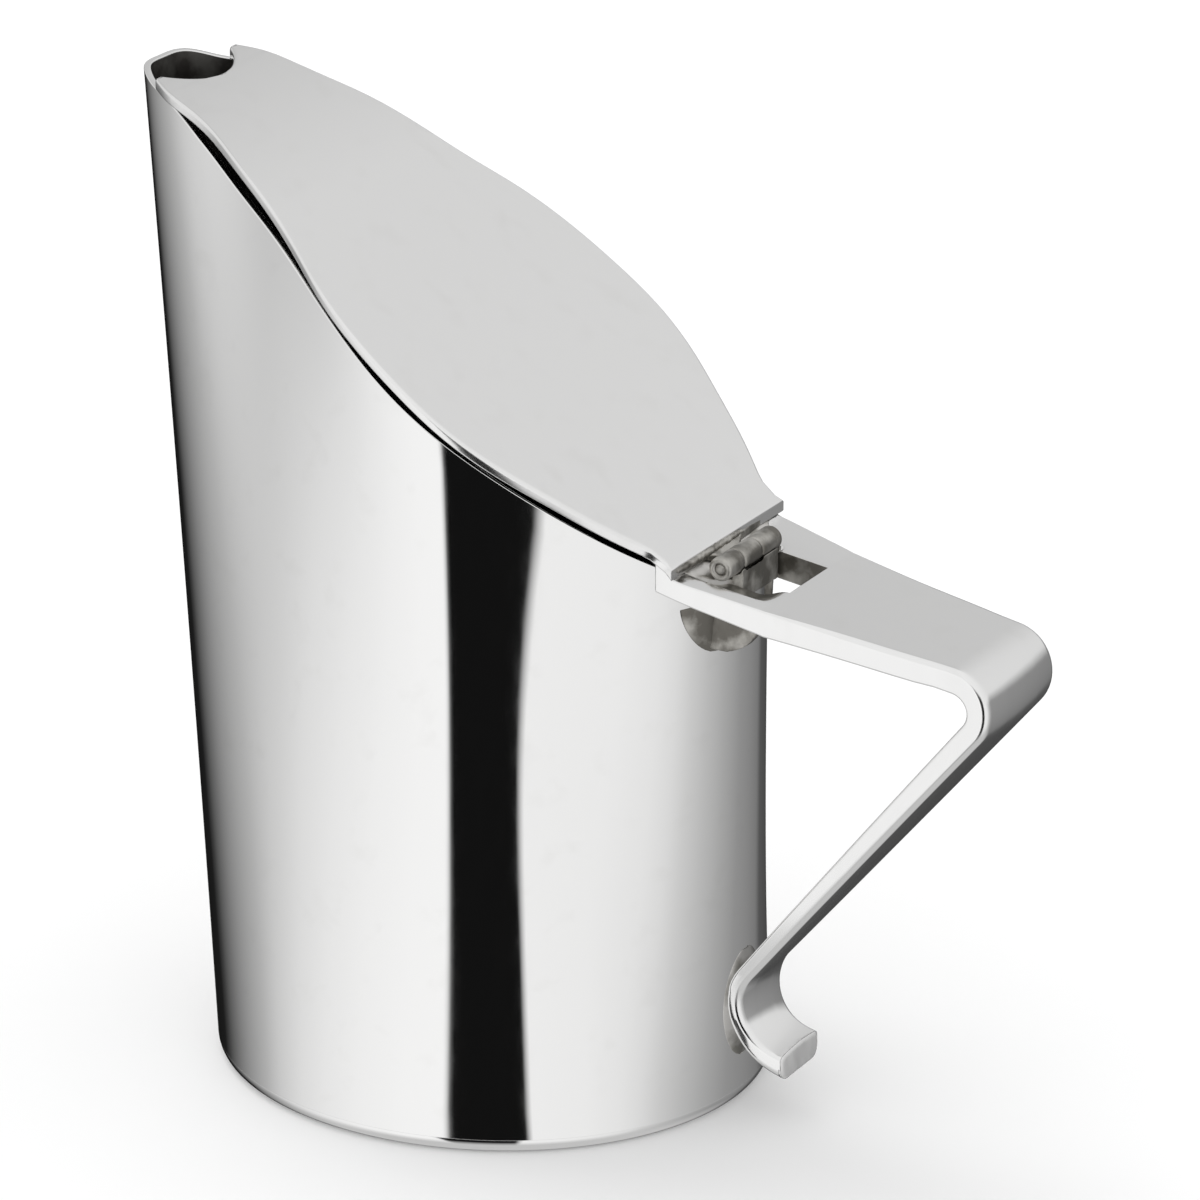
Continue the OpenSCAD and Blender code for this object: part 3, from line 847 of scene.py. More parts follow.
def turned(name, outline, material, closed):
    """Swings pairs of (place along Y, radius) about the hinge's axis."""
    points = []
    for place, radius in outline:
        for i in range(turned_steps):
            turn = 2 * math.pi * i / turned_steps
            way = Vector((math.cos(turn), 0, math.sin(turn)))
            spot = way * radius + Vector((hinge_x, place, hinge_z))
            dent = unevenness * (0.5 + 0.5 * noise.noise(spot * uneven_scale))
            points.append(spot - way * (dent if radius > pin_r * 1.5 else 0))
    count = turned_steps
    faces = ring_faces(len(outline), count)
    if closed:
        last = len(outline) - 1
        faces = faces[:-2] + [(last * count + i, last * count + (i + 1) % count, (i + 1) % count, i)
                              for i in range(count)]
    return piece(name, points, faces, material)


def tube_outline(start, stop, bore):
    """A tube's outline with rounded ends, from its bore round the outside and back."""
    r = knuckle_round
    bend = [math.radians(90 * i / knuckle_steps) for i in range(knuckle_steps + 1)]
    first = [(start + r * (1 - math.sin(a)), knuckle_r - r * (1 - math.cos(a))) for a in reversed(bend)]
    length = [(mix(start + r, stop - r, i / 10), knuckle_r) for i in range(1, 10)]
    second = [(stop - r * (1 - math.sin(a)), knuckle_r - r * (1 - math.cos(a))) for a in bend]
    return [(start, bore)] + first + length + second + [(stop, bore)]


for name, cad_node, body, start, stop in (
        ("knuckle_left", "left_knuckle", "body", left_end, left_stop),
        ("knuckle_of_lid", "lid_knuckle", "lid", mid_start, mid_stop),
        ("knuckle_right", "right_knuckle", "body", right_start, right_end)):
    made = turned(name, tube_outline(start, stop, bore_r), tarnish_shade_and_reflection, True)
    dress(made, body, cad_node)
pin_outline = [(left_end, pin_r * 0.3), (left_end + dome / 3, pin_r * 0.75), (left_end + dome, pin_r),
               (right_end - dome, pin_r), (right_end - dome / 3, pin_r * 0.75), (right_end, pin_r * 0.3)]
pin = turned("pin_of_hinge", pin_outline, tarnish_shade_and_reflection, False)
dress(pin, "body", "hinge_pin")
print("pin length", round((right_end - left_end) / mm, 2), "mm")

# %% [markdown]
# ## Soldered pieces
# The leaf behind the hinge, the two quarter-round brackets and the pad under the curl were never filed
# clean. Their solids already have the right size, so each is copied, merged and melted a little: a fine
# voxel remesh rounds every edge, smoothing takes the steps out, and noise pulls the skin in by less than a
# tenth of a millimetre, as solder looks once it has cooled. The far bracket is cut back, because the
# photograph shows light through the slot where its twin would stand.

# %% Soldered pieces
voxel, sag, sag_scale = 0.13 * mm, 0.09 * mm, 1300
flow_rounds, flow_share = 6, 0.5
far_bracket_share = 0.12


def melted(cad_node, name, material):
    """A softened, slightly uneven copy of a solid, never larger than the solid."""
    work = bmesh.new()
    work.from_mesh(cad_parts[cad_node].data)
    bmesh.ops.remove_doubles(work, verts=work.verts, dist=same_spot / 4)
    mesh = bpy.data.meshes.new(name)
    work.to_mesh(mesh)
    work.free()
    rough = linked(name + "_rough", mesh)
    remesh = rough.modifiers.new("melt", "REMESH")
    remesh.mode = "VOXEL"
    remesh.voxel_size = voxel
    flow = rough.modifiers.new("flow", "SMOOTH")
    flow.iterations = flow_rounds
    flow.factor = flow_share
    bpy.context.view_layer.update()
    result = bpy.data.meshes.new_from_object(rough.evaluated_get(bpy.context.evaluated_depsgraph_get()))
    bpy.data.objects.remove(rough)
    normals = [v.normal.copy() for v in result.vertices]
    for vert, normal in zip(result.vertices, normals):
        depth = 0.5 + 0.5 * noise.fractal(vert.co * sag_scale, 1, 2, 3)
        vert.co -= normal * sag * depth
    result.name = name
    result.materials.clear()
    result.materials.append(material)
    shade_smooth(result)
    return dress(linked(name, result), "body", cad_node)


for cad_node, name in (("body_hinge_leaf", "leaf_on_wall"), ("left_bracket", "bracket_left"),
                       ("right_bracket", "bracket_right"), ("foot_pad", "pad_under_curl")):
    made = melted(cad_node, name, worn if name == "pad_under_curl" else tarnish_shade_and_reflection)
    if name == "bracket_right":
        for vert in made.data.vertices:
            vert.co.x = mix(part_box(cad_node)[0].x, vert.co.x, far_bracket_share)
    print(name, "faces:", len(made.data.polygons))

# %% [markdown]
# ## The handle
# The handle is one strap, wide where it grips the wall and narrower down to a curled foot. A slot at its
# root leaves room for the hinge. It is laid out as rows along the strap and columns across it: each row
# takes a point of the outer side line and one of the inner, and each column a share of the width. The
# middle columns are left out where the slot is. The columns near each side bend round the strap's edges,
# tightly at the root and widely along the leg, where fingers have worn it. At the root the two arms follow
# the wall, rise to the rim of the mouth, and the near one has a hollow filed beside the hinge. A narrow
# bevel breaks the last sharp edges, which are those of the arms and the slot.

# %% Side lines of the handle
strap_z = 60.2 * mm
strap_fall = math.radians(8.5)
strap_t = 3 * mm
leg_t = 3 * mm
knee_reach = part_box("handle_strap")[1].x
knee_r = 5 * mm
knee_inner_r = 2 * mm
curl_r = 4.7 * mm
curl_back_r = 7.6 * mm
root_x = base_half_len - 6.25 * mm
slot_end_x = base_half_len + 6.8 * mm
toe_x = slot_end_x
toe_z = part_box("handle_strap")[0].z
toe_t = 2.5 * mm
toe_slope = math.radians(14)
curl_x = base_half_len - 1.29 * mm
leg_taper = math.radians(1.2)


def strap_top(x):
    return strap_z - (x - base_half_len) * math.tan(strap_fall)


def strap_under(x):
    return strap_top(x) - strap_t / math.cos(strap_fall)


def crossing(p, slope_p, q, slope_q):
    """Where two lines meet, each given by a point and its slope."""
    a, b = math.tan(slope_p), math.tan(slope_q)
    x = (q.y - p.y + p.x * a - q.x * b) / (a - b)
    return Vector((x, p.y + (x - p.x) * a))


def rounded(before, corner, after, r, steps):
    """The arc that rounds a corner between two others."""
    u, v = (before - corner).normalized(), (after - corner).normalized()
    half = math.acos(max(-1, min(1, u.dot(v)))) / 2
    middle = corner + (u + v).normalized() * r / math.sin(half)
    start = corner + u * r / math.tan(half) - middle
    side = -1 if u.x * v.y - u.y * v.x > 0 else 1
    sweep = side * (math.pi - 2 * half)
    return [middle + Matrix.Rotation(sweep * i / steps, 2) @ start for i in range(steps + 1)]


toe_top = Vector((toe_x, toe_z + toe_t))
toe_low = Vector((toe_x, toe_z))
toe_drop = 0.6 * mm
root_top = Vector((root_x, strap_top(root_x)))
root_low = Vector((root_x, strap_under(root_x)))
curl_corner = Vector((curl_x, toe_top.y + (toe_x - curl_x) * math.tan(toe_slope)))
knee_arc_x = knee_reach - knee_r
knee_middle = Vector((knee_arc_x, strap_top(knee_arc_x) - knee_r / math.cos(strap_fall)))
knee_line = knee_middle - curl_corner
leg_slope = math.atan2(knee_line.y, knee_line.x) - math.asin(knee_r / knee_line.length)
knee_corner = crossing(root_top, -strap_fall, curl_corner, leg_slope)
leg_start = knee_corner - Vector((math.sin(leg_slope), -math.cos(leg_slope))) * leg_t
knee_inner = crossing(root_low, -strap_fall, leg_start, leg_slope + leg_taper)
curl_inner = crossing(leg_start, leg_slope + leg_taper, toe_low, -toe_slope)

arc_rows = 18
leg_rows = 26
slot_rows = 24
bridge_rows = 10
toe_rows = 6


def run(a, b, count):
    """Points after a and up to b."""
    return [mix(a, b, i / count) for i in range(1, count + 1)]


def side_line(root, corner, r, curl, curl_round, toe):
    """One side line of the strap, from the slot's end to the toe."""
    start = Vector((slot_end_x, mix(root.y, corner.y, (slot_end_x - root.x) / (corner.x - root.x))))
    knee = rounded(root, corner, curl, r, arc_rows)
    bend = rounded(corner, curl, toe, curl_round, arc_rows)
    return [start] + run(start, knee[0], bridge_rows) + knee[1:] + run(knee[-1], bend[0], leg_rows) \
        + bend[1:] + run(bend[-1], toe, toe_rows)


outer_line = side_line(root_top, knee_corner, knee_r, curl_corner, curl_r, toe_top)
inner_line = side_line(root_low, knee_inner, knee_inner_r, curl_inner, curl_back_r,
                       toe_low - Vector((0, toe_drop)))
print("leg slope", round(math.degrees(leg_slope), 2), "degrees, rows", len(outer_line))

# %% [markdown]
# ## Widths of the handle
# The strap narrows from its root to the knee and again down the leg to the toe. A few widths were measured
# along it, and a line runs smoothly through them without swinging past any. The arms end on the wall, so
# this step also finds how far back the wall stands at any place.

# %% Widths of the handle
root_w, top_w, knee_w, leg_w, toe_w = 23.3 * mm, 19.9 * mm, 15.6 * mm, 13.3 * mm, 8.3 * mm
top_shares = [0, 0.12, 0.25, 0.42, 0.65, 0.855, 1]
top_widths = [root_w, root_w - 0.4 * mm, mix(root_w, top_w, 0.51), top_w, mix(top_w, knee_w, 0.44),
              mix(top_w, knee_w, 0.74), knee_w]
leg_top_z = knee_inner.y + knee_inner_r / 2
leg_shares = [0, 0.05, 0.13, 0.22, 0.42, 0.86, 1]
leg_widths = [toe_w, toe_w, mix(toe_w, leg_w, 0.18), mix(toe_w, leg_w, 0.48), leg_w, knee_w, knee_w]


def flowing(places, values, place):
    """A smooth line through given values that never swings past them."""
    place = min(max(place, places[0]), places[-1])
    i = next(k for k in range(len(places) - 1) if place <= places[k + 1])
    rise = [(values[k + 1] - values[k]) / (places[k + 1] - places[k]) for k in range(len(places) - 1)]
    between = [0 if a * b <= 0 else 2 * a * b / (a + b) for a, b in zip(rise, rise[1:])]
    slopes = [rise[0]] + between + [rise[-1]]
    h = places[i + 1] - places[i]
    t = (place - places[i]) / h
    return ((1 + 2 * t) * (1 - t) ** 2 * values[i] + t * t * (3 - 2 * t) * values[i + 1]
            + t * (1 - t) ** 2 * h * slopes[i] + t * t * (t - 1) * h * slopes[i + 1])


def half_width(spot):
    """Half the strap's width at a point of a side line."""
    across_top = flowing(top_shares, top_widths, (spot.x - root_x) / (knee_arc_x - root_x))
    if spot.y >= leg_top_z:
        return across_top / 2
    down_leg = flowing(leg_shares, leg_widths, (spot.y - toe_z) / (leg_top_z - toe_z))
    return min(across_top, down_leg) / 2


widest_turn = 80


def wall_x(y, z):
    """How far back the wall stands at a place across and a height."""
    low, high = 0, widest_turn
    for _ in range(halvings):
        middle = (low + high) / 2
        share = (z - base_t) / (mouth_z(mouth_at(middle).x) - base_t)
        spot = mix(base_at(middle), mouth_at(middle), share)
        if spot.y < abs(y):
            low = middle
        else:
            high = middle
    return spot.x


print("widths in mm:", [round(2 * half_width(p) / mm, 1) for p in outer_line[::12]])

# %% [markdown]
# ## Tops of the two arms
# Beside the hinge the near arm has a hollow, filed so that the knuckles can be reached, with a flat left
# along its outer edge. Both arms rise at their outer corners to meet the rim of the mouth, and stay clear
# of the lid and the knuckles. Each of these is one small rule for the height at a place, and they add up.

# %% Tops of the two arms
slot_half_w = 4.2 * mm
corner_steps = 5
flat_columns = 3
arm_columns = 14
slot_columns = 4
crown = 0.16 * mm
leg_crown = 0.4 * mm
root_round, knee_round, toe_round = 0.22 * mm, 0.75 * mm, 1.25 * mm
under_round = 0.3 * mm
hollow_depth = 1.25 * mm
hollow_reach = 2.6 * mm
flat_at_root, flat_at_end = 2.9 * mm, 1.9 * mm
hollow_end_x = 36.9 * mm
tip_lift, lift_end_x = 0.55 * mm, 37 * mm
under_lift = 1.25 * mm
seat_clear = 0.08 * mm
hollow_len = 3.6 * mm
room_r = knuckle_r + 0.45 * mm
room_left, room_right = 0.7 * mm, 0.3 * mm
knee_blend_x, knee_blend_len = hinge_x + 4 * mm, 14 * mm
bow_blend_len = 10 * mm
edge_room = 1.2
solder_gap = 0.03 * mm
toe_end_round = 0.5 * mm
toe_len = 5 * mm
toe_top_z = curl_r * 3


def hollow_at(x, y, half):
    """Depth of the round-filed hollow in the near arm, beside the hinge."""
    into = min(1, max(0, (half - flat_at(x) + y) / hollow_reach))
    return hollow_depth * math.sin(into * math.pi / 2) * ease((hollow_end_x - x) / hollow_len) if y < 0 else 0


def flat_at(x):
    """Width of the near arm's flat edge beside the hollow."""
    return mix(flat_at_root, flat_at_end, (x - root_x) / (hollow_end_x - root_x))


def arm_top(x, y, half):
    """Height of an arm's top, with the hollow and with room for the knuckles."""
    z = strap_top(x) + tip_raise(x, y, half, tip_lift) - hollow_at(x, y, half) - crown * (y / half) ** 2
    if x < lid_edge_x:
        rise = max(0, lid_z(x) - seat_clear - strap_top(x) - tip_lift)
        z += rise * ease((abs(y) - slot_half_w) / slot_half_w)
        z = min(z, lid_z(x) - seat_clear)
    if abs(x - hinge_x) < room_r and left_end - room_left < y < right_end + room_right:
        z = min(z, hinge_z - math.sqrt(room_r ** 2 - (x - hinge_x) ** 2))
    return z


def tip_raise(x, y, half, most):
    """How far an arm's outer edge rises towards the rim of the mouth at its root."""
    out = ease((abs(y) - slot_half_w) / (half - flat_at_root - slot_half_w))
    return out * most * max(0, (lift_end_x - x) / (lift_end_x - lid_edge_x))


beside_hinge = arm_top(hinge_x, -slot_half_w * 1.5, root_w / 2)
print("the near arm's top beside the hinge:", round(beside_hinge / mm, 2), "mm")

# %% [markdown]
# ## Rows of points
# Each row is one section of the strap. Its upper and lower skins have the same columns, so they can be
# joined later without counting. The outer columns sink by a quarter circle towards the other skin, which
# rounds the edge, and the last rows are drawn in on all sides, which rounds the toe's end. The arms' rows
# start where the wall is, with a hair's gap for solder.

# %% Rows of points
def across(half, slot_half, flat, r):
    """Places across one skin with their depths: a rounded edge, an arm and the slot, mirrored."""
    turns = [math.radians(90 * i / corner_steps) for i in range(corner_steps, -1, -1)]
    left = [(-half + r * (1 - math.sin(t)), r * (1 - math.cos(t))) for t in turns]
    left += [(mix(-half + r, -half + flat, i / flat_columns), 0) for i in range(1, flat_columns + 1)]
    rest = arm_columns - flat_columns
    left += [(mix(-half + flat, -slot_half, i / rest), 0) for i in range(1, rest + 1)]
    middle = [(mix(-slot_half, slot_half, i / slot_columns), 0) for i in range(1, slot_columns)]
    return left + middle + [(-y, d) for y, d in reversed(left)]


def pulled(skin, other, depth):
    """A point moved from its own skin towards the other."""
    return skin + (other - skin).normalized() * depth


def edge_rounds(top):
    """Radii of the strap's outer and inner edges at a row."""
    along = ease((top.x - knee_blend_x) / knee_blend_len) if top.z > strap_z / 2 else 1
    toe = ease((top.x - curl_x - toe_t) / toe_len) if top.z < toe_top_z else 0
    return mix(mix(root_round, knee_round, along), toe_end_round, toe), mix(under_round, toe_round, toe)


def skins(columns, outer_at, inner_at, inset):
    """Both skins of one row, drawn in by an inset where the toe's end is rounded."""
    upper = [pulled(outer_at(y), inner_at(y), d + inset) for y, d in columns[0]]
    lower = [pulled(inner_at(y), outer_at(y), d + inset) for y, d in columns[1]]
    return upper, lower


def arm_rows():
    """Rows of the two arms beside the slot, which start at the wall."""
    for j in range(slot_rows):
        t = j / slot_rows
        x_near = mix(root_x + 2 * mm, slot_end_x, t)
        half = half_width(Vector((x_near, strap_z)))

        def place(y):
            start = max(wall_x(y, strap_top(root_x)), wall_x(y, strap_under(base_half_len))) + solder_gap
            return mix(max(start, root_x), slot_end_x, t)

        def outer_at(y):
            return Vector((place(y), y, arm_top(place(y), y, half)))

        def inner_at(y):
            x = place(y)
            return Vector((x, y, strap_under(x) + tip_raise(x, y, half, under_lift)))

        r, r_under = edge_rounds(Vector((x_near, 0, strap_z)))
        flat = flat_at(x_near)
        columns = across(half, slot_half_w, flat, r), across(half, slot_half_w, flat, r_under)
        yield skins(columns, outer_at, inner_at, 0)


def strap_rows():
    """Rows of both skins from the slot's end round the knee to the toe's rounded end."""
    ends = [(0, 0)] * len(outer_line)
    turns = [math.radians(30 * i) for i in (1, 2, 3)]
    ends += [(toe_end_round * math.sin(t), toe_end_round * (1 - math.cos(t))) for t in turns]
    slot_share = slot_half_w / half_width(outer_line[0])
    flat_share = flat_at_end / half_width(outer_line[0])
    for j, (forward, inset) in enumerate(ends):
        k = min(j, len(outer_line) - 1)
        top, under = outer_line[k], inner_line[k]
        ahead = (outer_line[min(k + 1, len(outer_line) - 1)] - outer_line[max(k - 1, 0)]).normalized()
        out = Vector((-ahead.y, ahead.x))
        wide, narrow = half_width(top), half_width(under)
        bow = mix(crown, leg_crown, ease((strap_z - top.y) / bow_blend_len))
        slide = forward - toe_end_round * (k == len(outer_line) - 1)

        def outer_at(y):
            spot = top + ahead * slide - out * bow * (y / wide) ** 2
            return Vector((spot.x, y, spot.y))

        def inner_at(y):
            spot = under + ahead * slide
            return Vector((spot.x, y, spot.y))

        columns = [across(half - inset, half * slot_share, max(half * flat_share, r * edge_room), r)
                   for half, r in zip((wide, narrow), edge_rounds(Vector((top.x, 0, top.y))))]
        yield skins(columns, outer_at, inner_at, inset)


print("rows of the arms:", slot_rows, "rows of the strap:", len(list(strap_rows())))

# %% [markdown]
# ## From rows to a solid
# Neighbouring rows are joined on both skins, except over the slot, and the two skins are joined along the
# outer sides, round the slot and at both ends. Faces in the slot and the hollow take the dark tarnish finish,
# which there is both tarnish and painted shade, and those of the toe's end the filed one, because a file was
# the last tool there.

# %% From rows to a solid
def strap_mesh(rows):
    """The strap's points and faces: two skins, joined round the outside, the slot and both ends."""
    outer, inner = [row[0] for row in rows], [row[1] for row in rows]
    count, columns = len(outer), len(outer[0])
    points = [p for row in outer for p in row] + [p for row in inner for p in row]
    under = count * columns
    left = corner_steps + arm_columns
    right = left + slot_columns
    faces = []
    for j in range(count - 1):
        for i in range(columns - 1):
            if j < slot_rows and left <= i < right:
                continue
            a, d = j * columns + i, (j + 1) * columns + i
            faces += [(a, a + 1, d + 1, d), (under + d, under + d + 1, under + a + 1, under + a)]
        sides = [0, columns - 1] + ([left, right] if j < slot_rows else [])
        for i in sides:
            a, b = j * columns + i, (j + 1) * columns + i
            faces.append((a, b, under + b, under + a))
    for j, span in ((0, "arms"), (slot_rows, "slot"), (count - 1, "all")):
        for i in range(columns - 1):
            here = "slot" if left <= i < right else "arms"
            if span in (here, "all"):
                a = j * columns + i
                faces.append((a, a + 1, under + a + 1, under + a))
    return points, faces


slot_end_margin = 0.5 * mm
shade_margin = 0.3 * mm
arm_edge_from = math.radians(22)
arm_edge_round = 0.09 * mm


def tarnish_and_shade_near_hinge(face):
    """Whether a face of the strap lies in the slot or in the hollow, whose dark finish is tarnish and painted
    shade.
    """
    spot = face.calc_center_median()
    if spot.x > slot_end_x + slot_end_margin or spot.z < strap_under(spot.x) + shade_margin / 3:
        return False
    inside = abs(spot.y) < slot_half_w + shade_margin and abs(face.normal.z) < 0.8
    return inside or spot.z < strap_top(spot.x) - shade_margin and face.normal.z > 0.3


handle = piece("strap_handle", *strap_mesh(list(arm_rows()) + list(strap_rows())), handled)
handle.data.materials.append(tarnish_shade_and_reflection)
handle.data.materials.append(filed)
work = bmesh.new()
work.from_mesh(handle.data)
loose = [v for v in work.verts if not v.link_faces]
bmesh.ops.delete(work, geom=loose, context="VERTS")
weight = work.edges.layers.float.new("bevel_weight_edge")
for edge in work.edges:
    if edge.is_manifold and edge.calc_face_angle() > arm_edge_from:
        middle = (edge.verts[0].co + edge.verts[1].co) / 2
        edge[weight] = int(middle.x < slot_end_x + slot_end_margin and middle.z > strap_z / 2)
# Slot and hollow faces take the dark tarnish finish, which paints their shade as well as tarnish.
for face in work.faces:
    middle = face.calc_center_median()
    at_toe = face.normal.x > 0.6 and middle.x > toe_x - toe_end_round and middle.z < toe_top_z
    face.material_index = 2 if at_toe else int(tarnish_and_shade_near_hinge(face))
open_edges = sum(not e.is_manifold for e in work.edges)
work.to_mesh(handle.data)
work.free()
soften(handle, arm_edge_round, 2, by_weight=True)
dress(handle, "body", "handle_strap")
handle.visible_glossy = False
print("handle faces:", len(handle.data.polygons), "open edges:", open_edges)

# %% [markdown]
# ## Solder round the joints
# Silver solder is melted into each joint and leaves its own small shapes. A bed of it closes the chink
# between the rim and the back of the lid. A dark wedge in the tarnish finish fills the corner beside the
# near bracket, with its twin on the far side: it is a painted reflection of the bracket on the mirror wall.
# A thin lens lies on the wall behind the curl, and a rough bead runs along the lid's back edge. Each is
# laid out as sections along the joint, so it follows the metal under it.

# %% Solder round the joints
bed_half_w = 10.9 * mm
bed_depth = 0.7 * mm
bed_front_x = lid_edge_x - 0.5 * mm
bed_clear = 0.12 * mm
bed_rough, bed_scale = 0.05 * mm, 1500
sunk = 0.2 * mm
solder_round = 0.12 * mm
wedge_wide, wedge_thick = 2.9 * mm, 0.7 * mm
wedge_low_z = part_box("left_bracket")[0].z - 0.3 * mm
lens_z, lens_half_h, lens_half_w, lens_t = 11.3 * mm, 6 * mm, 4 * mm, 0.6 * mm
bead_from_y, bead_to_y, bead_r = -11 * mm, 3 * mm, 0.34 * mm
bed_steps, bed_columns = 60, 4
wedge_steps = 16
lens_steps, lens_columns = 12, 8
bead_steps, bead_sides = 90, 10
bead_tall, bead_rough, bead_scale = 1.35, 0.55, 2600


def laid(name, sections, material, cad_node):
    """A closed piece through sections of equal count, with its corners rounded off."""
    points = [p for section in sections for p in section]
    made = piece(name, points, ring_faces(len(sections), len(sections[0])), material)
    return dress(soften(made, solder_round), "body", cad_node)


def bed_section(y):
    """The solder bed across the rim at one place along the back."""
    back = wall_x(y, strap_top(base_half_len)) + 0.25 * mm
    places = [mix(bed_front_x, back, i / bed_columns) for i in range(bed_columns + 1)]
    uneven = [bed_rough * noise.noise(Vector((x, y, 0)) * bed_scale) for x in places]
    top = [Vector((x, y, lid_z(x) - bed_clear - abs(u))) for x, u in zip(places, uneven)]
    return top + [Vector((p.x, y, p.z - bed_depth)) for p in reversed(top)]


bed = [bed_section(mix(-bed_half_w, bed_half_w, i / bed_steps)) for i in range(bed_steps + 1)]
laid("rim_bed", bed, worn, "body_wall")
print("sections of the bed:", len(bed))

# %% [markdown]
# ## The two wedges of painted reflection
# Beside each bracket a dark wedge in the tarnish finish lies in the corner between the wall and the arm. It
# is a painted reflection of the bracket on the mirror wall, widest under the arm and running out to a point
# lower down.

# %% The two wedges of painted reflection
def reflection_wedge_section(side, t):
    """The dark wedge beside a bracket, a painted reflection of it, at a share of the way down."""
    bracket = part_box("left_bracket")
    z = mix(strap_under(base_half_len), wedge_low_z, t)
    inner = min(abs(bracket[0].y), abs(bracket[1].y))
    wide = (wedge_wide + abs(bracket[1].y - bracket[0].y)) * math.sqrt(1 - (0.97 * t) ** 1.6)
    edges = [(inner, wedge_thick * (1 - 0.6 * t)), (inner + wide * 0.5, wedge_thick * (1 - 0.7 * t)),
             (inner + wide, sunk * 0.3), (inner + wide, -sunk), (inner, -sunk)]
    return [Vector((wall_x(y, z) + lift, side * y, z)) for y, lift in edges]


# Each wedge is a painted reflection: the dark mirror image of its bracket on the wall.
for name, cad_node, side in (("wedge_left", "left_bracket", -1), ("wedge_right", "right_bracket", 1)):
    wedge = [reflection_wedge_section(side, i / wedge_steps) for i in range(wedge_steps + 1)]
    laid(name, wedge, tarnish_shade_and_reflection, cad_node)
    print(name, "sections:", len(wedge))

# %% [markdown]
# ## The lens behind the curl
# Where the curl meets the wall, the solder has spread into a thin lens. Its thickness falls off from the
# middle to the edge, and its last points sink into the wall, so no edge shows.

# %% The lens behind the curl
def lens_section(t):
    """The lens of solder on the wall behind the curl, at a share of its height from -1 to 1."""
    z = lens_z + lens_half_h * t
    wide = lens_half_w * math.sqrt(1 - (0.985 * t) ** 2)
    front = [Vector((wall_x(y, z) + lens_t * (1 - t * t) * (1 - (y / wide) ** 4), y, z))
             for y in [mix(-wide, wide, i / lens_columns) for i in range(lens_columns + 1)]]
    return front + [Vector((wall_x(p.y, z) - sunk, p.y, z)) for p in reversed(front)]


lens = [lens_section(math.sin(math.radians(90 * i / lens_steps))) for i in range(-lens_steps, lens_steps + 1)]
laid("curl_patch", lens, worn, "foot_pad")
print("lens", round(2 * lens_half_w / mm, 1), "by", round(2 * lens_half_h / mm, 1), "mm")

# %% [markdown]
# ## The bead on the lid's back edge
# The strip was soldered on from behind, and a rough bead stayed along the lid's back edge. It is a tube of
# uneven radius, thick in its middle, that rides on the lid.

# %% The bead on the lid's back edge
def bead_section(t):
    """A rough bead of solder along the back edge of the lid, thick in its middle and thin at its ends."""
    y = mix(bead_from_y, bead_to_y, t)
    swell = bead_r * math.sin(math.pi * (0.06 + 0.88 * t)) ** 0.5
    middle = Vector((lid_edge_x + 0.05 * mm, y, lid_z(lid_edge_x) + lid_rise * 0.55))
    ring = []
    for i in range(bead_sides):
        turn = 2 * math.pi * i / bead_sides
        way = Vector((math.cos(turn), 0, math.sin(turn) * bead_tall))
        rough = 1 + bead_rough * noise.noise((middle + way * swell) * bead_scale)
        ring.append(middle + way * swell * rough)
    return ring


bead = piece("lid_bead", [p for i in range(bead_steps) for p in bead_section(i / (bead_steps - 1))],
             ring_faces(bead_steps, bead_sides), tarnish_shade_and_reflection)
dress(bead, "lid", "lid_hinge_strip")
print("bead from", round(bead_from_y / mm, 1), "to", round(bead_to_y / mm, 1), "mm")

# %% [markdown]
# ## The studio
# Polished silver has no look of its own, so the room matters as much as the mesh. The photograph was taken
# in a white tent: bright cloth in front and to the left, the dark camera side as one black upright panel,
# and a dim far side behind the handle. The world is painted by direction with those panels for glossy rays
# only. Other rays see an even white room, and the camera sees plain white.

# %% The studio
panels = [
    (-180, 0.33), (-171, 0.44), (-162, 0.6), (-150, 0.745), (-138, 0.83), (-123, 0.895), (-105, 0.935),
    (-89.2, 0.945), (-87, 0.006), (-57.4, 0.006), (-55.4, 0.885), (-33, 0.86), (-18, 0.8), (-9, 0.727),
    (0, 0.61), (12, 0.5), (27, 0.39), (45, 0.286), (63, 0.238), (78, 0.19), (86, 0.09), (118, 0.05),
    (132, 0.008), (147, 0.012), (153, 0.045), (165, 0.16), (180, 0.33)]
canopy = [(-180, 0.7), (-90, 0.85), (0, 0.8), (60, 0.72), (77, 0.7), (112, 0.56), (150, 0.5), (180, 0.7)]
floor_glow = 0.55
canopy_from, canopy_full = 0.0, 0.2
floor_from, floor_full = -0.6, -0.85
print("panels round the horizon:", len(panels))

# %% [markdown]
# ## The world
# Two colour ramps run round the horizon, one at eye height and one for the canopy above, and the
# direction's height blends them. Far below the horizon a plain glow stands for the white paper. The
# Light Path node tells mirror rays from all others.

# %% The world
def ramp_of(tree, turn, stops):
    """A colour ramp round the horizon from pairs of azimuth in degrees and brightness."""
    made = tree.nodes.new("ShaderNodeValToRGB")
    tree.links.new(turn, made.inputs["Fac"])
    ramp = made.color_ramp
    while len(ramp.elements) > 1:
        ramp.elements.remove(ramp.elements[-1])
    for i, (azimuth, level) in enumerate(stops):
        place = (azimuth + 180) / 360
        stop = ramp.elements[0] if i == 0 else ramp.elements.new(place)
        stop.position = place
        stop.color = (level, level, level, 1)
    return made.outputs["Color"]


def blended(tree, factor, a, b):
    made = tree.nodes.new("ShaderNodeMix")
    made.data_type = "RGBA"
    tree.links.new(factor, made.inputs["Factor"])
    for socket, value in zip([s for s in made.inputs if s.type == "RGBA"], (a, b)):
        if isinstance(value, float):
            socket.default_value = (value, value, value, 1)
        else:
            tree.links.new(value, socket)
    return [s for s in made.outputs if s.type == "RGBA"][0]


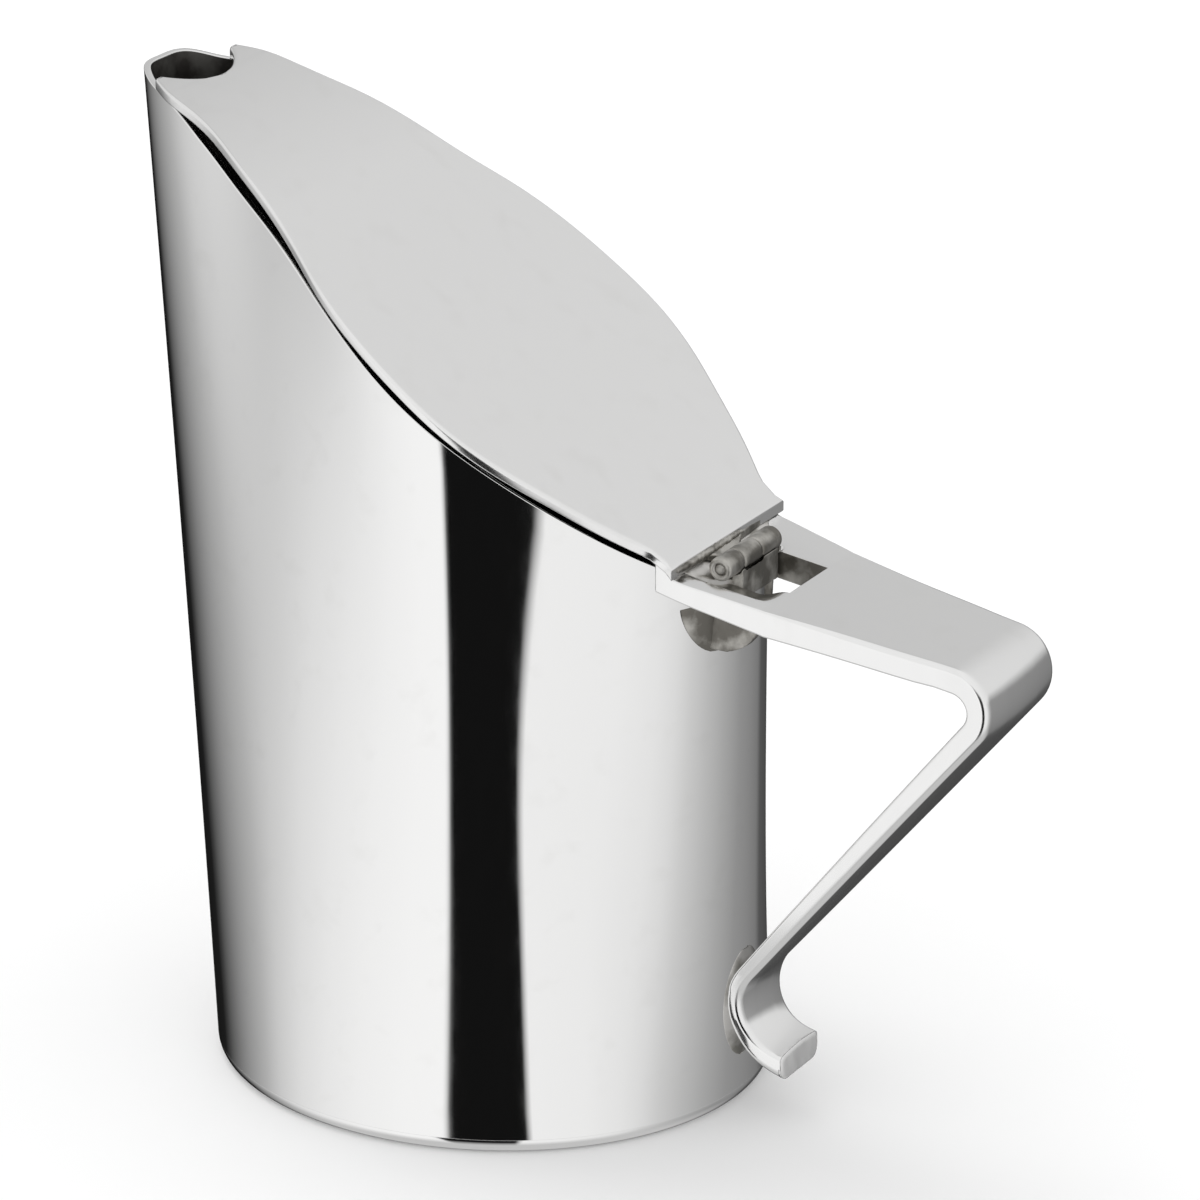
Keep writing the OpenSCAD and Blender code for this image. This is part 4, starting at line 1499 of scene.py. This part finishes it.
def make_studio():
    world = bpy.data.worlds.new("white_tent")
    bpy.context.scene.world = world
    world.use_nodes = True
    tree = world.node_tree
    tree.nodes.clear()
    place = tree.nodes.new("ShaderNodeTexCoord")
    split = tree.nodes.new("ShaderNodeSeparateXYZ")
    tree.links.new(place.outputs["Generated"], split.inputs["Vector"])
    azimuth = maths(tree, "ARCTAN2", split.outputs["Y"], split.outputs["X"])
    turn = ranged(tree, azimuth, -math.pi, math.pi, 0, 1)
    above = ranged(tree, split.outputs["Z"], canopy_from, canopy_full, 0, 1)
    below = ranged(tree, split.outputs["Z"], floor_from, floor_full, 0, 1)
    round_it = blended(tree, above, ramp_of(tree, turn, panels), ramp_of(tree, turn, canopy))
    mirrored_room = blended(tree, below, round_it, floor_glow)
    path = tree.nodes.new("ShaderNodeLightPath")
    colour = blended(tree, path.outputs["Is Glossy Ray"], 1.0, mirrored_room)
    back = tree.nodes.new("ShaderNodeBackground")
    tree.links.new(colour, back.inputs["Color"])
    out = tree.nodes.new("ShaderNodeOutputWorld")
    tree.links.new(back.outputs["Background"], out.inputs["Surface"])
    return world


make_studio()
print("world:", bpy.context.scene.world.name)

# %% [markdown]
# ## The table
# The creamer stands on white paper that fades into the white background, with a soft shadow round its foot
# and to the right. The paper is hidden from glossy rays, because the panels already stand for what the
# wall mirrors there, as the handle is. One broad lamp from the back left makes the shadow.

# %% The table
table_size = 6
lamp_from = Vector((-0.8, 0.45, 1.5))
bpy.ops.mesh.primitive_plane_add(size=table_size)
table = bpy.context.object
table.name = "white_paper"
paper = bpy.data.materials.new("white_paper")
paper.use_nodes = True
paper_shader = paper.node_tree.nodes["Principled BSDF"]
paper_shader.inputs["Base Color"].default_value = (0.93, 0.93, 0.93, 1)
paper_shader.inputs["Roughness"].default_value = 0.9
paper_shader.inputs["Specular IOR Level"].default_value = 0
table.data.materials.append(paper)
table.visible_glossy = False

lamp_data = bpy.data.lights.new("broad_lamp", "SUN")
lamp_data.energy = 0.6
lamp_data.angle = math.radians(40)
lamp = bpy.data.objects.new("broad_lamp", lamp_data)
bpy.context.scene.collection.objects.link(lamp)
lamp.visible_glossy = False
lamp.rotation_euler = lamp_from.to_track_quat("Z", "Y").to_euler()
bpy.context.scene.view_settings.view_transform = "Standard"
print("lamp from", [round(v, 2) for v in lamp_from])
